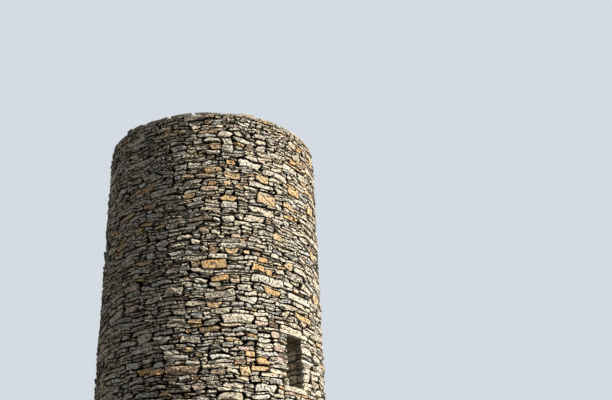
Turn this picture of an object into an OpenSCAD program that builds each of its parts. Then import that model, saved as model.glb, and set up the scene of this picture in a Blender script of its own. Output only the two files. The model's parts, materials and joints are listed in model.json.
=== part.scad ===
// Round castle keep of flat rubble stone, with a doorway, two upper windows
// and a terrace behind a plain parapet. Millimetres, +Z up. The origin is the
// centre of the foot, the doorway faces -Y and the windows face +X and -X.

/* [Tower] */
// Height from the ground to the top of the parapet
tower_h = 12400; // [11000:100:15000]
// Outer radius at the top of the parapet
top_r = 2200; // [1900:10:2800]
// How far the outer face leans in for each metre of height
batter = 11; // [0:1:25]

/* [Walls] */
// Thickness of the ground storey wall at its top
ground_wall_t = 1120; // [900:10:1300]
// Thickness of the upper storey wall at its top
upper_wall_t = 850; // [650:10:950]
// Thickness of the parapet at its top
parapet_t = 480; // [350:10:550]
// Height of the parapet above the paving
parapet_h = 1000; // [800:10:1200]
// Thickness of the flat capping stones
coping_t = 100; // [60:5:150]

/* [Doorway] */
// Clear width of the doorway
door_w = 900; // [700:10:1100]
// Clear height of the doorway above the threshold
door_h = 2050; // [1800:10:2300]
// Height of the door lintels
door_lintel_t = 200; // [140:10:300]
// How far each door lintel bears on the wall
door_bearing = 220; // [120:10:300]

/* [Windows] */
// Clear width of the windows at the outer face
window_w = 420; // [300:10:600]
// Clear height of the windows
window_h = 990; // [700:10:1300]
// Height of the window sills above the ground
window_sill_z = 6835; // [6500:5:8500]
// Clear width of the splayed embrasure at the room
embrasure_w = 700; // [600:10:800]
// How deep the straight outer part of a window is
window_straight = 450; // [300:10:550]
// Height of the outer window lintel
window_lintel_t = 70; // [50:5:150]
// How far each window lintel bears on the wall
window_bearing = 180; // [80:10:200]
// Thickness of the window sill slab
sill_t = 100; // [60:5:150]
// How far the sill slab runs under the wall beside the window
sill_bearing = 100; // [50:10:150]
// How far lintels and sills stand proud of the wall face
slab_proud = 15; // [0:1:30]

/* [Floors] */
// Thickness of the ground storey's flagstones and the threshold
flag_t = 150; // [100:5:250]
// Height of the ledge that carries the upper floor
upper_ledge_z = 5500; // [4800:10:5700]
// Height of the upper floor beams
floor_beam_h = 200; // [140:5:260]
// Width of the upper floor beams
floor_beam_w = 180; // [120:5:220]
// Thickness of the upper floor boards
board_t = 40; // [25:1:60]
// Height of the terrace beams
terrace_beam_h = 220; // [160:5:280]
// Width of the terrace beams
terrace_beam_w = 200; // [140:5:240]
// Thickness of the terrace planks
plank_t = 60; // [40:1:80]
// Thickness of the terrace paving
paving_t = 80; // [50:1:120]
// Distance from the centre line to the two middle beams
beam_inner_x = 450; // [400:5:500]
// Clear length of the hatches, along Y
hatch_l = 700; // [600:10:800]
// Distance from the centre line to the near edge of the hatches
hatch_y = 200; // [100:10:250]
// Width of the timbers that trim the hatches
trimmer_w = 120; // [80:5:150]
// Height of the timber curb round the terrace hatch
curb_h = 100; // [60:5:150]
// Thickness of the curb timbers
curb_t = 60; // [40:5:90]
// Gap left between timber floors and the masonry round them
floor_gap = 10; // [3:1:20]

/* [Hidden] */
$fn = 180;

// Levels, from the terrace down and from the ground up
paving_top_z = tower_h - parapet_h;
plank_top_z = paving_top_z - paving_t;
terrace_beam_top_z = plank_top_z - plank_t;
terrace_ledge_z = terrace_beam_top_z - terrace_beam_h;
coping_z = tower_h - coping_t;
floor_beam_top_z = upper_ledge_z + floor_beam_h;
floor_top_z = floor_beam_top_z + board_t;
door_head_z = flag_t + door_h;
window_head_z = window_sill_z + window_h;

// Radii of the three rooms, one above the other
ground_room_r = outer_r(upper_ledge_z) - ground_wall_t;
upper_room_r = outer_r(terrace_ledge_z) - upper_wall_t;
terrace_r = top_r - parapet_t;

// A length that passes right through any wall
far = 2 * outer_r(0);
// Clear width between the two middle beams, which is also the width of each hatch
floor_hatch_w = 2 * beam_inner_x - floor_beam_w;
terrace_hatch_w = 2 * beam_inner_x - terrace_beam_w;
// Distance from the centre line to where the straight part of a window ends
embrasure_x = outer_r(window_sill_z) - window_straight;

function outer_r(z) = top_r + batter * (tower_h - z) / 1000;

// Distance from the centre line to a round face of radius r, at the offset x
function reach(r, x) = sqrt(r * r - x * x);

// The outermost beams keep this share of the room's radius to their far side
outer_beam_share = 0.76;

stone = "#a49a86";
pale_stone = "#b4ab98";
oak = "#6d5238";

// A battered disc between two levels, grown outwards by proud
module tower_body(z0, z1, proud = 0) {
  translate([0, 0, z0])
    cylinder(h = z1 - z0, r1 = outer_r(z0) + proud, r2 = outer_r(z1) + proud);
}

// A battered ring between two levels, round a room of radius r_in
module wall_ring(z0, z1, r_in, proud = 0) {
  difference() {
    tower_body(z0, z1, proud);
    translate([0, 0, z0 - 1])
      cylinder(h = z1 - z0 + 2, r = r_in);
  }
}

// The quarter of the plan that faces turn: 0 is right, 90 back, 180 left, 270 front
module quarter(turn, z0, z1) {
  rotate([0, 0, turn])
    translate([0, 0, z0 - 1])
      linear_extrude(z1 - z0 + 2)
        polygon([[0, 0], [far, -far], [far, far]]);
}

// A quarter of a wall ring
module wall_quarter(turn, z0, z1, r_in) {
  intersection() {
    wall_ring(z0, z1, r_in);
    quarter(turn, z0, z1);
  }
}

// A block that runs outwards from the centre line along +X, of width w
module block_out(w, z0, z1, x0 = 0, x1 = far) {
  translate([x0, -w / 2, z0])
    cube([x1 - x0, w, z1 - z0]);
}

// The half of the plan on one side of the XZ plane: side is 1 for +Y or -1 for -Y
module beside(side, w, z0, z1) {
  translate([0, side > 0 ? w / 2 : -w / 2 - far, z0 - 1])
    cube([far, far, z1 - z0 + 2]);
}

// Ground storey wall round the doorway. The doorway is drawn facing +X here.

module door_lintel_space() {
  block_out(door_w + 2 * door_bearing, door_head_z, door_head_z + door_lintel_t);
}

module ground_wall_beside_door(side) {
  color(stone)
    rotate([0, 0, -90])
      difference() {
        intersection() {
          wall_quarter(0, 0, upper_ledge_z, ground_room_r);
          beside(side, door_w, 0, upper_ledge_z);
        }
        door_lintel_space();
      }
}

module ground_wall_over_door() {
  color(stone)
    rotate([0, 0, -90])
      intersection() {
        wall_ring(door_head_z + door_lintel_t, upper_ledge_z, ground_room_r);
        block_out(door_w, door_head_z, upper_ledge_z);
      }
}

module ground_wall_quarter(turn) {
  color(stone) wall_quarter(turn, 0, upper_ledge_z, ground_room_r);
}

// Three lintels lie side by side through the wall. place is 0 for the innermost.
module door_lintel(place) {
  wall_d = outer_r(door_head_z) - ground_room_r;
  lintel_d = wall_d / 3;
  x0 = place == 0 ? 0 : ground_room_r + place * lintel_d;
  x1 = place == 2 ? far : ground_room_r + (place + 1) * lintel_d;
  color(pale_stone)
    rotate([0, 0, -90])
      intersection() {
        wall_ring(door_head_z, door_head_z + door_lintel_t, ground_room_r,
                  place == 2 ? slab_proud : 0);
        block_out(door_w + 2 * door_bearing, door_head_z,
                  door_head_z + door_lintel_t, x0, x1);
      }
}

module door_threshold() {
  color(pale_stone)
    rotate([0, 0, -90])
      intersection() {
        wall_ring(0, flag_t, ground_room_r);
        block_out(door_w, 0, flag_t);
      }
}

module ground_floor_flags() {
  color(pale_stone) cylinder(h = flag_t, r = ground_room_r);
}

// Upper storey wall. Each window is drawn facing +X, and turn takes it to its side.

// The clear opening in plan: straight at the face, then splayed towards the room
module window_space(z0, z1) {
  translate([0, 0, z0])
    linear_extrude(z1 - z0)
      polygon([
        [upper_room_r, -embrasure_w / 2], [embrasure_x, -window_w / 2],
        [far, -window_w / 2], [far, window_w / 2],
        [embrasure_x, window_w / 2], [upper_room_r, embrasure_w / 2],
        [0, embrasure_w / 2], [0, -embrasure_w / 2]
      ]);
}

module outer_lintel_block() {
  block_out(window_w + 2 * window_bearing, window_head_z,
            window_head_z + window_lintel_t, embrasure_x, far);
}

module inner_lintel_block() {
  block_out(embrasure_w + 2 * window_bearing, window_head_z,
            window_head_z + 2 * window_lintel_t, 0, embrasure_x);
}

module sill_block() {
  block_out(window_w + 2 * sill_bearing, window_sill_z - sill_t, window_sill_z,
            embrasure_x, far);
}

module window_cuts() {
  window_space(window_sill_z, window_head_z);
  outer_lintel_block();
  inner_lintel_block();
  sill_block();
}

module upper_wall_quarter(turn) {
  color(stone) wall_quarter(turn, upper_ledge_z, terrace_ledge_z, upper_room_r);
}

module upper_wall_beside_window(turn, side) {
  color(stone)
    rotate([0, 0, turn])
      difference() {
        intersection() {
          wall_quarter(0, upper_ledge_z, terrace_ledge_z, upper_room_r);
          beside(side, window_w, upper_ledge_z, terrace_ledge_z);
        }
        window_cuts();
      }
}

module wall_under_window(turn) {
  color(stone)
    rotate([0, 0, turn])
      difference() {
        intersection() {
          wall_ring(upper_ledge_z, window_sill_z, upper_room_r);
          block_out(window_w, upper_ledge_z, window_sill_z);
        }
        sill_block();
      }
}

module wall_over_window(turn) {
  color(stone)
    rotate([0, 0, turn])
      difference() {
        intersection() {
          wall_ring(window_head_z, terrace_ledge_z, upper_room_r);
          block_out(window_w, window_head_z, terrace_ledge_z);
        }
        outer_lintel_block();
        inner_lintel_block();
      }
}

module window_sill(turn) {
  color(pale_stone)
    rotate([0, 0, turn])
      intersection() {
        wall_ring(window_sill_z - sill_t, window_sill_z, upper_room_r, slab_proud);
        sill_block();
      }
}

module window_lintel_outer(turn) {
  color(pale_stone)
    rotate([0, 0, turn])
      intersection() {
        wall_ring(window_head_z, window_head_z + window_lintel_t, upper_room_r, slab_proud);
        outer_lintel_block();
      }
}

module window_lintel_inner(turn) {
  color(pale_stone)
    rotate([0, 0, turn])
      intersection() {
        wall_ring(window_head_z, window_head_z + 2 * window_lintel_t, upper_room_r);
        inner_lintel_block();
      }
}

// Timber floors

// Four beams along Y that lie on a ledge between the radii r_room and r_ledge
module floor_beams(z, h, w, r_room) {
  outer_x = outer_beam_share * r_room - w / 2;
  for (x = [-outer_x, -beam_inner_x, beam_inner_x, outer_x]) {
    half_l = reach(r_room - floor_gap, abs(x) + w / 2);
    translate([x - w / 2, -half_l, z])
      cube([w, 2 * half_l, h]);
  }
}

// Two short timbers between the middle beams, before and behind a hatch
module trimmers(z, h, hatch_w) {
  for (y = [hatch_y - trimmer_w, hatch_y + hatch_l])
    translate([-hatch_w / 2, y, z])
      cube([hatch_w, trimmer_w, h]);
}

module hatch_space(hatch_w, z0, z1) {
  translate([-hatch_w / 2, hatch_y, z0])
    cube([hatch_w, hatch_l, z1 - z0]);
}

// A round deck with its hatch cut through
module deck(z, t, r, hatch_w) {
  difference() {
    translate([0, 0, z]) cylinder(h = t, r = r);
    hatch_space(hatch_w, z - 1, z + t + 1);
  }
}

module upper_floor_beams() {
  color(oak) floor_beams(upper_ledge_z, floor_beam_h, floor_beam_w, upper_room_r);
}

module upper_floor_trimmers() {
  color(oak) trimmers(upper_ledge_z, floor_beam_h, floor_hatch_w);
}

module upper_floor_boards() {
  color(oak) deck(floor_beam_top_z, board_t, upper_room_r - floor_gap, floor_hatch_w);
}

module terrace_beams() {
  color(oak) floor_beams(terrace_ledge_z, terrace_beam_h, terrace_beam_w, terrace_r);
}

module terrace_trimmers() {
  color(oak) trimmers(terrace_ledge_z, terrace_beam_h, terrace_hatch_w);
}

module terrace_planks() {
  color(oak) deck(terrace_beam_top_z, plank_t, terrace_r - floor_gap, terrace_hatch_w);
}

module terrace_paving() {
  color(pale_stone) deck(plank_top_z, paving_t, terrace_r, terrace_hatch_w);
}

module terrace_hatch_curb() {
  color(oak)
    difference() {
      translate([-terrace_hatch_w / 2 - curb_t, hatch_y - curb_t, paving_top_z])
        cube([terrace_hatch_w + 2 * curb_t, hatch_l + 2 * curb_t, curb_h]);
      hatch_space(terrace_hatch_w, paving_top_z - 1, paving_top_z + curb_h + 1);
    }
}

// Parapet and its capping stones

module parapet_quarter(turn) {
  color(stone) wall_quarter(turn, terrace_ledge_z, coping_z, terrace_r);
}

module coping_quarter(turn) {
  color(pale_stone) wall_quarter(turn, coping_z, tower_h, terrace_r);
}

ground_wall_beside_door(-1);  // ground_wall_front_left
ground_wall_beside_door(1);  // ground_wall_front_right
ground_wall_over_door();
ground_wall_quarter(0);  // ground_wall_right
ground_wall_quarter(90);  // ground_wall_back
ground_wall_quarter(180);  // ground_wall_left
door_threshold();
door_lintel(2);  // door_lintel_outer
door_lintel(1);  // door_lintel_middle
door_lintel(0);  // door_lintel_inner
ground_floor_flags();
upper_wall_quarter(270);  // upper_wall_front
upper_wall_quarter(90);  // upper_wall_back
upper_wall_beside_window(0, -1);  // upper_wall_right_front
upper_wall_beside_window(0, 1);  // upper_wall_right_back
wall_under_window(0);  // wall_under_right_window
wall_over_window(0);  // wall_over_right_window
window_sill(0);  // right_window_sill
window_lintel_outer(0);  // right_window_lintel_outer
window_lintel_inner(0);  // right_window_lintel_inner
upper_wall_beside_window(180, 1);  // upper_wall_left_front
upper_wall_beside_window(180, -1);  // upper_wall_left_back
wall_under_window(180);  // wall_under_left_window
wall_over_window(180);  // wall_over_left_window
window_sill(180);  // left_window_sill
window_lintel_outer(180);  // left_window_lintel_outer
window_lintel_inner(180);  // left_window_lintel_inner
upper_floor_beams();
upper_floor_trimmers();
upper_floor_boards();
terrace_beams();
terrace_trimmers();
terrace_planks();
terrace_paving();
terrace_hatch_curb();
parapet_quarter(270);  // parapet_front
parapet_quarter(0);  // parapet_right
parapet_quarter(90);  // parapet_back
parapet_quarter(180);  // parapet_left
coping_quarter(270);  // coping_front
coping_quarter(0);  // coping_right
coping_quarter(90);  // coping_back
coping_quarter(180);  // coping_left
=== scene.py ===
# %% [markdown]
# # A round keep of flat stones
# This lesson dresses a plain model of a round castle keep. The plain model holds the real sizes:
# a wall that leans inwards, a doorway, two narrow windows, two timber floors and a paved terrace
# behind a parapet. What it lacks is the look, and on this keep the look is the masonry: nearly
# twelve thousand flat stones laid dry and by eye. One image of stones wrapped round a cylinder
# would look painted on, so each stone here is a small closed solid, and numpy lays them all.

import json
import math

import bpy
import numpy as np
from mathutils import Matrix, Vector


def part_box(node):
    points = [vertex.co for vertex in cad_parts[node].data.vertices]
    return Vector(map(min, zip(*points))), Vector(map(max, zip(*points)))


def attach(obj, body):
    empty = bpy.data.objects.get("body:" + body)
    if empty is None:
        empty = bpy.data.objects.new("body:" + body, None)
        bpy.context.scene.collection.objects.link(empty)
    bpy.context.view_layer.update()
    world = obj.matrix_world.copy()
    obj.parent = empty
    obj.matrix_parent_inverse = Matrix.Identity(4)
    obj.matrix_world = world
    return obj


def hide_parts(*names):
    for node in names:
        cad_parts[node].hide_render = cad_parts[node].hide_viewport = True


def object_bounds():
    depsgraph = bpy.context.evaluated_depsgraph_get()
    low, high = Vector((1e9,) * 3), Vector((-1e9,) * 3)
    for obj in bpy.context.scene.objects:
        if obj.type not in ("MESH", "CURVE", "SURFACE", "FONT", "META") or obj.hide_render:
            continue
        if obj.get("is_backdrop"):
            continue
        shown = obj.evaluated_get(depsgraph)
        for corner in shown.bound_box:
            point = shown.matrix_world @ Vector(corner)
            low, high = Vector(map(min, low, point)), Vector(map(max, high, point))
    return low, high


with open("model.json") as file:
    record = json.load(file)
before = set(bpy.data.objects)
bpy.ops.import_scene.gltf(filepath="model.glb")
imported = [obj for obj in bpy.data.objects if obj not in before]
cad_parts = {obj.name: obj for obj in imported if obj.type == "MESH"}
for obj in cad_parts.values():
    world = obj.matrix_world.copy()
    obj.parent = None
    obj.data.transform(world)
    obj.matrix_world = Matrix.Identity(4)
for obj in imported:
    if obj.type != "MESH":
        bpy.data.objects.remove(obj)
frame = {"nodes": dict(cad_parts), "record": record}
cad_low, cad_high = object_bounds()
print("plain model:", [round(high - low, 3) for low, high in zip(cad_low, cad_high)], "m")

# %% [markdown]
# ## Read the sizes from the model
# Nothing here is measured again by hand. A node's box gives the levels and radii, so the stones
# follow if the plain model changes. Each opening has a box in the record, a centimetre smaller
# than the hole on each side, and that gives the hole itself.

# %% Sizes of the keep
OPENING_CLEARANCE = 0.01


def hole(name):
    """The sides of an opening: its box from the record, grown by the clearance."""
    for opening in frame["record"]["physics"]["openings"]:
        if opening["name"] == name:
            low, high = np.array(opening["box_m"])
            return low - OPENING_CLEARANCE, high + OPENING_CLEARANCE
    raise ValueError(f"no opening named {name}")


BASE_R = cad_high[0]
TOP_Z = cad_high[2]
COPING_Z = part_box("coping_front")[0][2]
LEAN = (BASE_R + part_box("coping_front")[0][1]) / COPING_Z
LEDGE_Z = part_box("upper_wall_front")[0][2]
TERRACE_LEDGE_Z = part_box("parapet_front")[0][2]
FLOOR_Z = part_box("ground_floor_flags")[1][2]
PAVING_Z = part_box("terrace_paving")[1][2]
GROUND_ROOM_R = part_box("ground_floor_flags")[1][0]
TERRACE_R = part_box("terrace_paving")[1][0]
inner_lintel_low, inner_lintel_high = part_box("right_window_lintel_inner")
UPPER_ROOM_R = math.hypot(inner_lintel_low[0], inner_lintel_high[1])
WINDOW_STRAIGHT_X = inner_lintel_high[0]


def wall_radius(z):
    """Outer radius at height z: the foot's radius less the lean times the height."""
    return BASE_R - LEAN * z


print(f"foot radius {BASE_R:.3f}, top radius {wall_radius(TOP_Z):.3f}, rooms "
      f"{GROUND_ROOM_R:.3f} and {UPPER_ROOM_R:.3f}, terrace {TERRACE_R:.3f}")

# %% [markdown]
# ## The camera
# The camera comes first, because a few stones are placed where the photograph shows them. It
# stands at eye height, well back, and looks steeply up with a slight roll. Its axes are worked
# out from three angles and put straight into its matrix, which avoids Euler angles altogether.

# %% Camera at the photograph's viewpoint
PHOTO_W, PHOTO_H = 612, 400
FOCAL_PX = 1000.0
CAMERA_AZIMUTH = math.radians(46.0)
CAMERA_DISTANCE = 19.457
RIM_OVER_CAMERA = 10.853
LOOKS_RIGHT = math.radians(5.98)
LOOKS_UP = math.radians(27.066)
ROLL = math.radians(-2.176)

heading = CAMERA_AZIMUTH - LOOKS_RIGHT
ahead = Vector((-math.sin(heading), math.cos(heading), 0)) * math.cos(LOOKS_UP)
ahead.z = math.sin(LOOKS_UP)
level_right = Vector((math.cos(heading), math.sin(heading), 0))
level_up = level_right.cross(ahead)
camera_right = level_right * math.cos(ROLL) + level_up * math.sin(ROLL)
camera_up = level_up * math.cos(ROLL) - level_right * math.sin(ROLL)
camera_at = Vector((math.sin(CAMERA_AZIMUTH) * CAMERA_DISTANCE,
                    -math.cos(CAMERA_AZIMUTH) * CAMERA_DISTANCE,
                    TOP_Z - RIM_OVER_CAMERA))

camera_data = bpy.data.cameras.new("camera")
camera_data.sensor_width = 36
camera_data.lens = FOCAL_PX * camera_data.sensor_width / PHOTO_W
camera = bpy.data.objects.new("camera", camera_data)
bpy.context.scene.collection.objects.link(camera)
axes = Matrix((camera_right, camera_up, -ahead)).transposed().to_4x4()
camera.matrix_world = Matrix.Translation(camera_at) @ axes
bpy.context.scene.camera = camera
print("camera at", [round(value, 2) for value in camera_at], "lens", round(camera_data.lens, 1))

# %% [markdown]
# ## From a place in the photograph to a place on the wall
# A ray from the camera through a pixel meets the leaning wall where its distance from the axis
# equals the wall's radius at its height. Both sides squared give a quadratic, and the nearer
# root is the side that faces the camera.

# %% Where a pixel meets the wall


def wall_place(pixel):
    """Angle round the axis and height of the wall point that a photo pixel shows."""
    across, down = pixel[0] - PHOTO_W / 2, pixel[1] - PHOTO_H / 2
    ray = ahead * FOCAL_PX + camera_right * across - camera_up * down
    leaning = BASE_R - LEAN * camera_at.z
    a = ray.x ** 2 + ray.y ** 2 - (LEAN * ray.z) ** 2
    b = 2 * (camera_at.x * ray.x + camera_at.y * ray.y + LEAN * ray.z * leaning)
    c = camera_at.x ** 2 + camera_at.y ** 2 - leaning ** 2
    t = (-b - math.sqrt(b * b - 4 * a * c)) / (2 * a)
    point = camera_at + ray * t
    return math.atan2(point.y, point.x), point.z


MIDDLE_LEFT_PIXEL = (211, 200)
middle_angle, middle_z = wall_place(MIDDLE_LEFT_PIXEL)
print(f"the picture's middle left meets the wall at {math.degrees(middle_angle):.1f} deg, "
      f"z {middle_z:.2f}")

# %% [markdown]
# ## Laying stones
# A mason lays each stone on the lowest place, long side down, and seldom puts one joint over
# another. The same rule works as code. The top of the work so far is kept as level runs. Each
# turn takes the lowest run, lays one stone at one of its ends, and levels it with its neighbour
# where they are nearly level. Rectangles that are fixed, such as a doorway or a lintel, are
# stepped round: stones below them finish flush, and stones beside them stop at their sides.

# %% Runs, fixed rectangles and joints
# A run is [start, width, level], a fixed rectangle (left, right, low, high), a joint (place, top).
NARROWEST = 0.045
THINNEST = 0.030
SHORTEST = 0.105
SAME_LEVEL = 1e-4
SAME_COURSE = 0.003
JOINT_APART = 0.045


def fixed_over(start, end, fixed, length):
    """The fixed rectangles over a stretch, also where the stretch runs on past the seam."""
    found = []
    for left, right, low, high in fixed:
        for shift in (0, length):
            if start < right + shift - SAME_LEVEL and end > left + shift + SAME_LEVEL:
                found.append((left + shift, right + shift, low, high))
    return found


def join_level_runs(runs, closed, length):
    """Makes one run of each two neighbours at the same level, and keeps the starts in order."""
    while runs[-1][0] > length - SAME_LEVEL:
        start, width, level = runs.pop()
        runs.insert(0, [start - length, width, level])
    k = 0
    while k < len(runs) - 1:
        if abs(runs[k][2] - runs[k + 1][2]) < SAME_LEVEL:
            runs[k][1] += runs.pop(k + 1)[1]
        else:
            k += 1
    if closed and len(runs) > 1 and abs(runs[0][2] - runs[-1][2]) < SAME_LEVEL:
        runs[-1][1] += runs.pop(0)[1]


def raised_over_fixed(run, blocks):
    """The run in parts, with what lies under a fixed rectangle lifted to its top."""
    start, width, level = run
    for left, right, low, high in blocks:
        if low - SAME_LEVEL <= level < high - SAME_LEVEL:
            inner, outer = max(left, start), min(right, start + width)
            parts = [[start, inner - start, level], [inner, outer - inner, high],
                     [outer, start + width - outer, level]]
            return [part for part in parts if part[1] > SAME_LEVEL]
    return None


def clear_of_joints(edge, level, joints, length):
    """True where no joint in the course below ends near this edge."""
    for place, top in joints:
        apart = abs((edge - place + length / 2) % length - length / 2)
        if abs(top - level) < SAME_COURSE and apart < JOINT_APART:
            return False
    return True


print("shortest stone", SHORTEST, "m, thinnest", THINNEST, "m")

# %% Lay one stone after another
LEVELLING = 0.028
LEAST_STEP = THINNEST * 0.8
LEAST_LENGTH_TO_HEIGHT = 1.5
TAKES_ALL_BELOW = 1.5
LEAST_PIECE = 0.7 * SHORTEST
JOINT_SHIFTS = (0, 0.06, -0.06, 0.11)
CLEAR_JOINTS_EVERY = 100
KEEP_JOINTS_BELOW = 0.01


def levels_beside(runs, k, closed, height):
    """The levels to the left and the right of a run. An open strip ends at the full height."""
    left_there = len(runs) > 1 and (closed or k > 0)
    right_there = len(runs) > 1 and (closed or k < len(runs) - 1)
    return (runs[k - 1][2] if left_there else height,
            runs[(k + 1) % len(runs)][2] if right_there else height)


def stone_length(width, wide):
    """The picked length, or all or half of the run where the rest would be too short."""
    if width - wide >= SHORTEST:
        return wide
    return width if width < TAKES_ALL_BELOW * wide or width < 2 * SHORTEST else width / 2


def stone_height(level, tall, wide, sides, blocks, height):
    """The picked height, changed to finish level with a neighbour, a fixed piece or the top."""
    tall = min(tall, max(wide / LEAST_LENGTH_TO_HEIGHT, THINNEST))
    for side in sides:
        step = side - level
        if LEAST_STEP < step < wide and abs(tall - step) < LEVELLING:
            tall = step
    for left, right, low, high in blocks:
        if level < low and level + tall > low - THINNEST:
            tall = low - level
    if level + tall > height - THINNEST:
        tall = height - level
    return tall


def lay_stones(length, height, pick_size, rng, fixed=(), closed=True):
    """Fills a strip with stones and returns one row (start, end, bottom, top) for each.

    pick_size gives a thickness and a length at a level. fixed are rectangles to step round, and
    closed says that the strip's two ends meet.
    """
    runs, joints, laid = [[0.0, length, 0.0]], [], []
    while True:
        k = min(range(len(runs)), key=lambda i: runs[i][2])
        start, width, level = runs[k]
        if level > height - SAME_LEVEL:
            rows = np.array(laid)
            rows[:, :2] -= length * (rows[:, :1] > length - SAME_LEVEL)
            return rows
        parts = raised_over_fixed(runs[k], fixed_over(start, start + width, fixed, length))
        if parts:
            runs[k:k + 1] = parts
            join_level_runs(runs, closed, length)
            continue
        left_level, right_level = levels_beside(runs, k, closed, height)
        if width < NARROWEST:
            runs[k][2] = min(left_level, right_level)
            join_level_runs(runs, closed, length)
            continue

        # The stone starts at either end of the run, moved a little where a joint lies below.
        tall, wide = pick_size(level, rng)
        wide = stone_length(width, wide)
        from_left = rng.random() < 0.5
        for change in JOINT_SHIFTS:
            edge = start + wide + change if from_left else start + width - wide - change
            fits = LEAST_PIECE < wide + change < width - LEAST_PIECE
            if fits and clear_of_joints(edge, level, joints, length):
                wide += change
                break
        first = start if from_left else start + width - wide

        # Its height suits the neighbours that it touches and the fixed pieces over it.
        sides = [left_level] * (first - start < SAME_LEVEL)
        sides += [right_level] * (start + width - first - wide < SAME_LEVEL)
        blocks = fixed_over(first, first + wide, fixed, length)
        tall = stone_height(level, tall, wide, sides, blocks, height)
        laid.append((first, first + wide, level, level + tall))

        # The run is split in three, and joints far below are forgotten now and then.
        parts = [[start, first - start, level], [first, wide, level + tall],
                 [first + wide, start + width - first - wide, level]]
        runs[k:k + 1] = [part for part in parts if part[1] > SAME_LEVEL]
        join_level_runs(runs, closed, length)
        joints += [(first, level + tall), (first + wide, level + tall)]
        if len(laid) % CLEAR_JOINTS_EVERY == 0:
            joints = [joint for joint in joints if joint[1] > level - KEEP_JOINTS_BELOW]


print("a stone is levelled with a neighbour that is up to", LEVELLING, "m higher or lower")

# %% [markdown]
# ## Stones that the eye picks out
# Most stones may lie anywhere, but a few catch the eye: long ochre ones on the sunny side, a
# broad pale slab near the window and brown ones on the shaded side. Each is given by the place
# of its middle in the photograph, its real length and height, and its colour. They are laid
# first as fixed rectangles, and the others are built round them.

# %% The marked stones


def linear(red, green, blue):
    """A colour written 0 to 255, as a screen shows it, in the linear values that shaders use."""
    part = np.array([red, green, blue]) / 255
    return np.where(part <= 0.04045, part / 12.92, ((part + 0.055) / 1.055) ** 2.4)


OCHRE = linear(250, 200, 126)
TAN = linear(248, 212, 154)
PALE = linear(238, 231, 212)
ROSE = linear(246, 216, 194)
BROWN = linear(190, 148, 100)
MARKED_STONES = {
    "long_ochre": ((214, 263), 0.52, 0.20, OCHRE),
    "broad_pale": ((268, 281.5), 0.70, 0.19, PALE),
    "ochre_under_pale": ((272.5, 292.5), 0.36, 0.13, OCHRE),
    "twin_ochre": ((258, 269.5), 0.27, 0.15, OCHRE),
    "ochre_by_twin": ((269.5, 273), 0.19, 0.12, OCHRE),
    "small_ochre": ((263, 261.5), 0.22, 0.11, OCHRE),
    "broad_tan": ((266, 201), 0.44, 0.22, TAN),
    "upper_tan": ((262, 179), 0.30, 0.19, TAN),
    "right_ochre": ((293.5, 192), 0.38, 0.15, OCHRE),
    "tan_below_it": ((288, 206), 0.32, 0.14, TAN),
    "far_right_tan": ((310, 212), 0.34, 0.20, TAN),
    "edge_tan": ((312, 257), 0.34, 0.16, TAN),
    "low_edge_tan": ((315.5, 299), 0.40, 0.18, TAN),
    "right_corner": ((289, 266), 0.26, 0.17, TAN),
    "high_ochre": ((292, 162), 0.17, 0.10, OCHRE),
    "thin_ochre": ((230.5, 163), 0.22, 0.11, OCHRE),
    "thin_tan": ((232, 176), 0.34, 0.14, TAN),
    "short_tan": ((227.5, 185), 0.15, 0.10, TAN),
    "dark_ochre": ((239, 187), 0.20, 0.09, BROWN),
    "small_at_shade": ((212, 184), 0.17, 0.09, OCHRE),
    "middle_pale": ((229, 205), 0.34, 0.14, PALE),
    "rose": ((236, 236), 0.22, 0.09, ROSE),
    "tan_by_rose": ((278, 238), 0.22, 0.14, TAN),
    "ochre_pair_left": ((213.5, 250), 0.20, 0.12, BROWN),
    "ochre_pair_right": ((232, 250), 0.25, 0.12, TAN),
    "tan_in_the_dark": ((195, 264), 0.18, 0.13, TAN),
    "ochre_at_the_shade": ((189, 195), 0.24, 0.10, OCHRE),
    "tan_step": ((214, 303), 0.30, 0.12, TAN),
    "long_brown": ((144, 190), 0.50, 0.15, BROWN),
    "lower_brown": ((150, 206), 0.34, 0.12, BROWN),
    "foot_tan": ((157, 373), 0.28, 0.13, OCHRE),
    "low_left_tan": ((190, 348), 0.20, 0.10, TAN),
    "by_the_window_left": ((250.5, 353.5), 0.21, 0.10, OCHRE),
    "by_the_window_right": ((262.5, 361), 0.26, 0.15, OCHRE),
    "under_them_long": ((240, 361), 0.22, 0.08, BROWN),
    "under_them": ((246, 369.5), 0.20, 0.17, TAN),
    "rose_at_the_lintel": ((275.5, 335.5), 0.20, 0.14, ROSE),
    "rose_at_the_jamb": ((279.5, 350), 0.26, 0.11, ROSE),
}
print(len(MARKED_STONES), "marked stones")

# %% [markdown]
# ## The strip that the wall unrolls to
# Unrolled, the outer face is a strip as long as the wall's middle girth. Angles start at the back
# right, out of sight, so that the doorway and the windows lie well inside the strip.

# %% Unroll the outer face
FULL_TURN = 2 * math.pi
STRIP_R = (BASE_R + wall_radius(TOP_Z)) / 2
STRIP = FULL_TURN * STRIP_R
SEAM_ANGLE = math.radians(45)


def along_strip(angle):
    """Distance along the strip of an angle round the axis."""
    return (angle - SEAM_ANGLE) % FULL_TURN * STRIP_R


def strip_rectangle(angle, half_width, low, high):
    """A rectangle on the strip for a piece of half_width that is centred on an angle."""
    half = math.asin(half_width / wall_radius((low + high) / 2)) * STRIP_R
    middle = along_strip(angle)
    return middle - half, middle + half, low, high


door_high = hole("doorway")[1]
window_low, window_high = hole("right_window")
door_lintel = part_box("door_lintel_outer")
window_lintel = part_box("right_window_lintel_outer")
window_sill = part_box("right_window_sill")
DOOR_ANGLE, RIGHT_ANGLE, LEFT_ANGLE = math.radians(270), 0.0, math.pi

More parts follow.
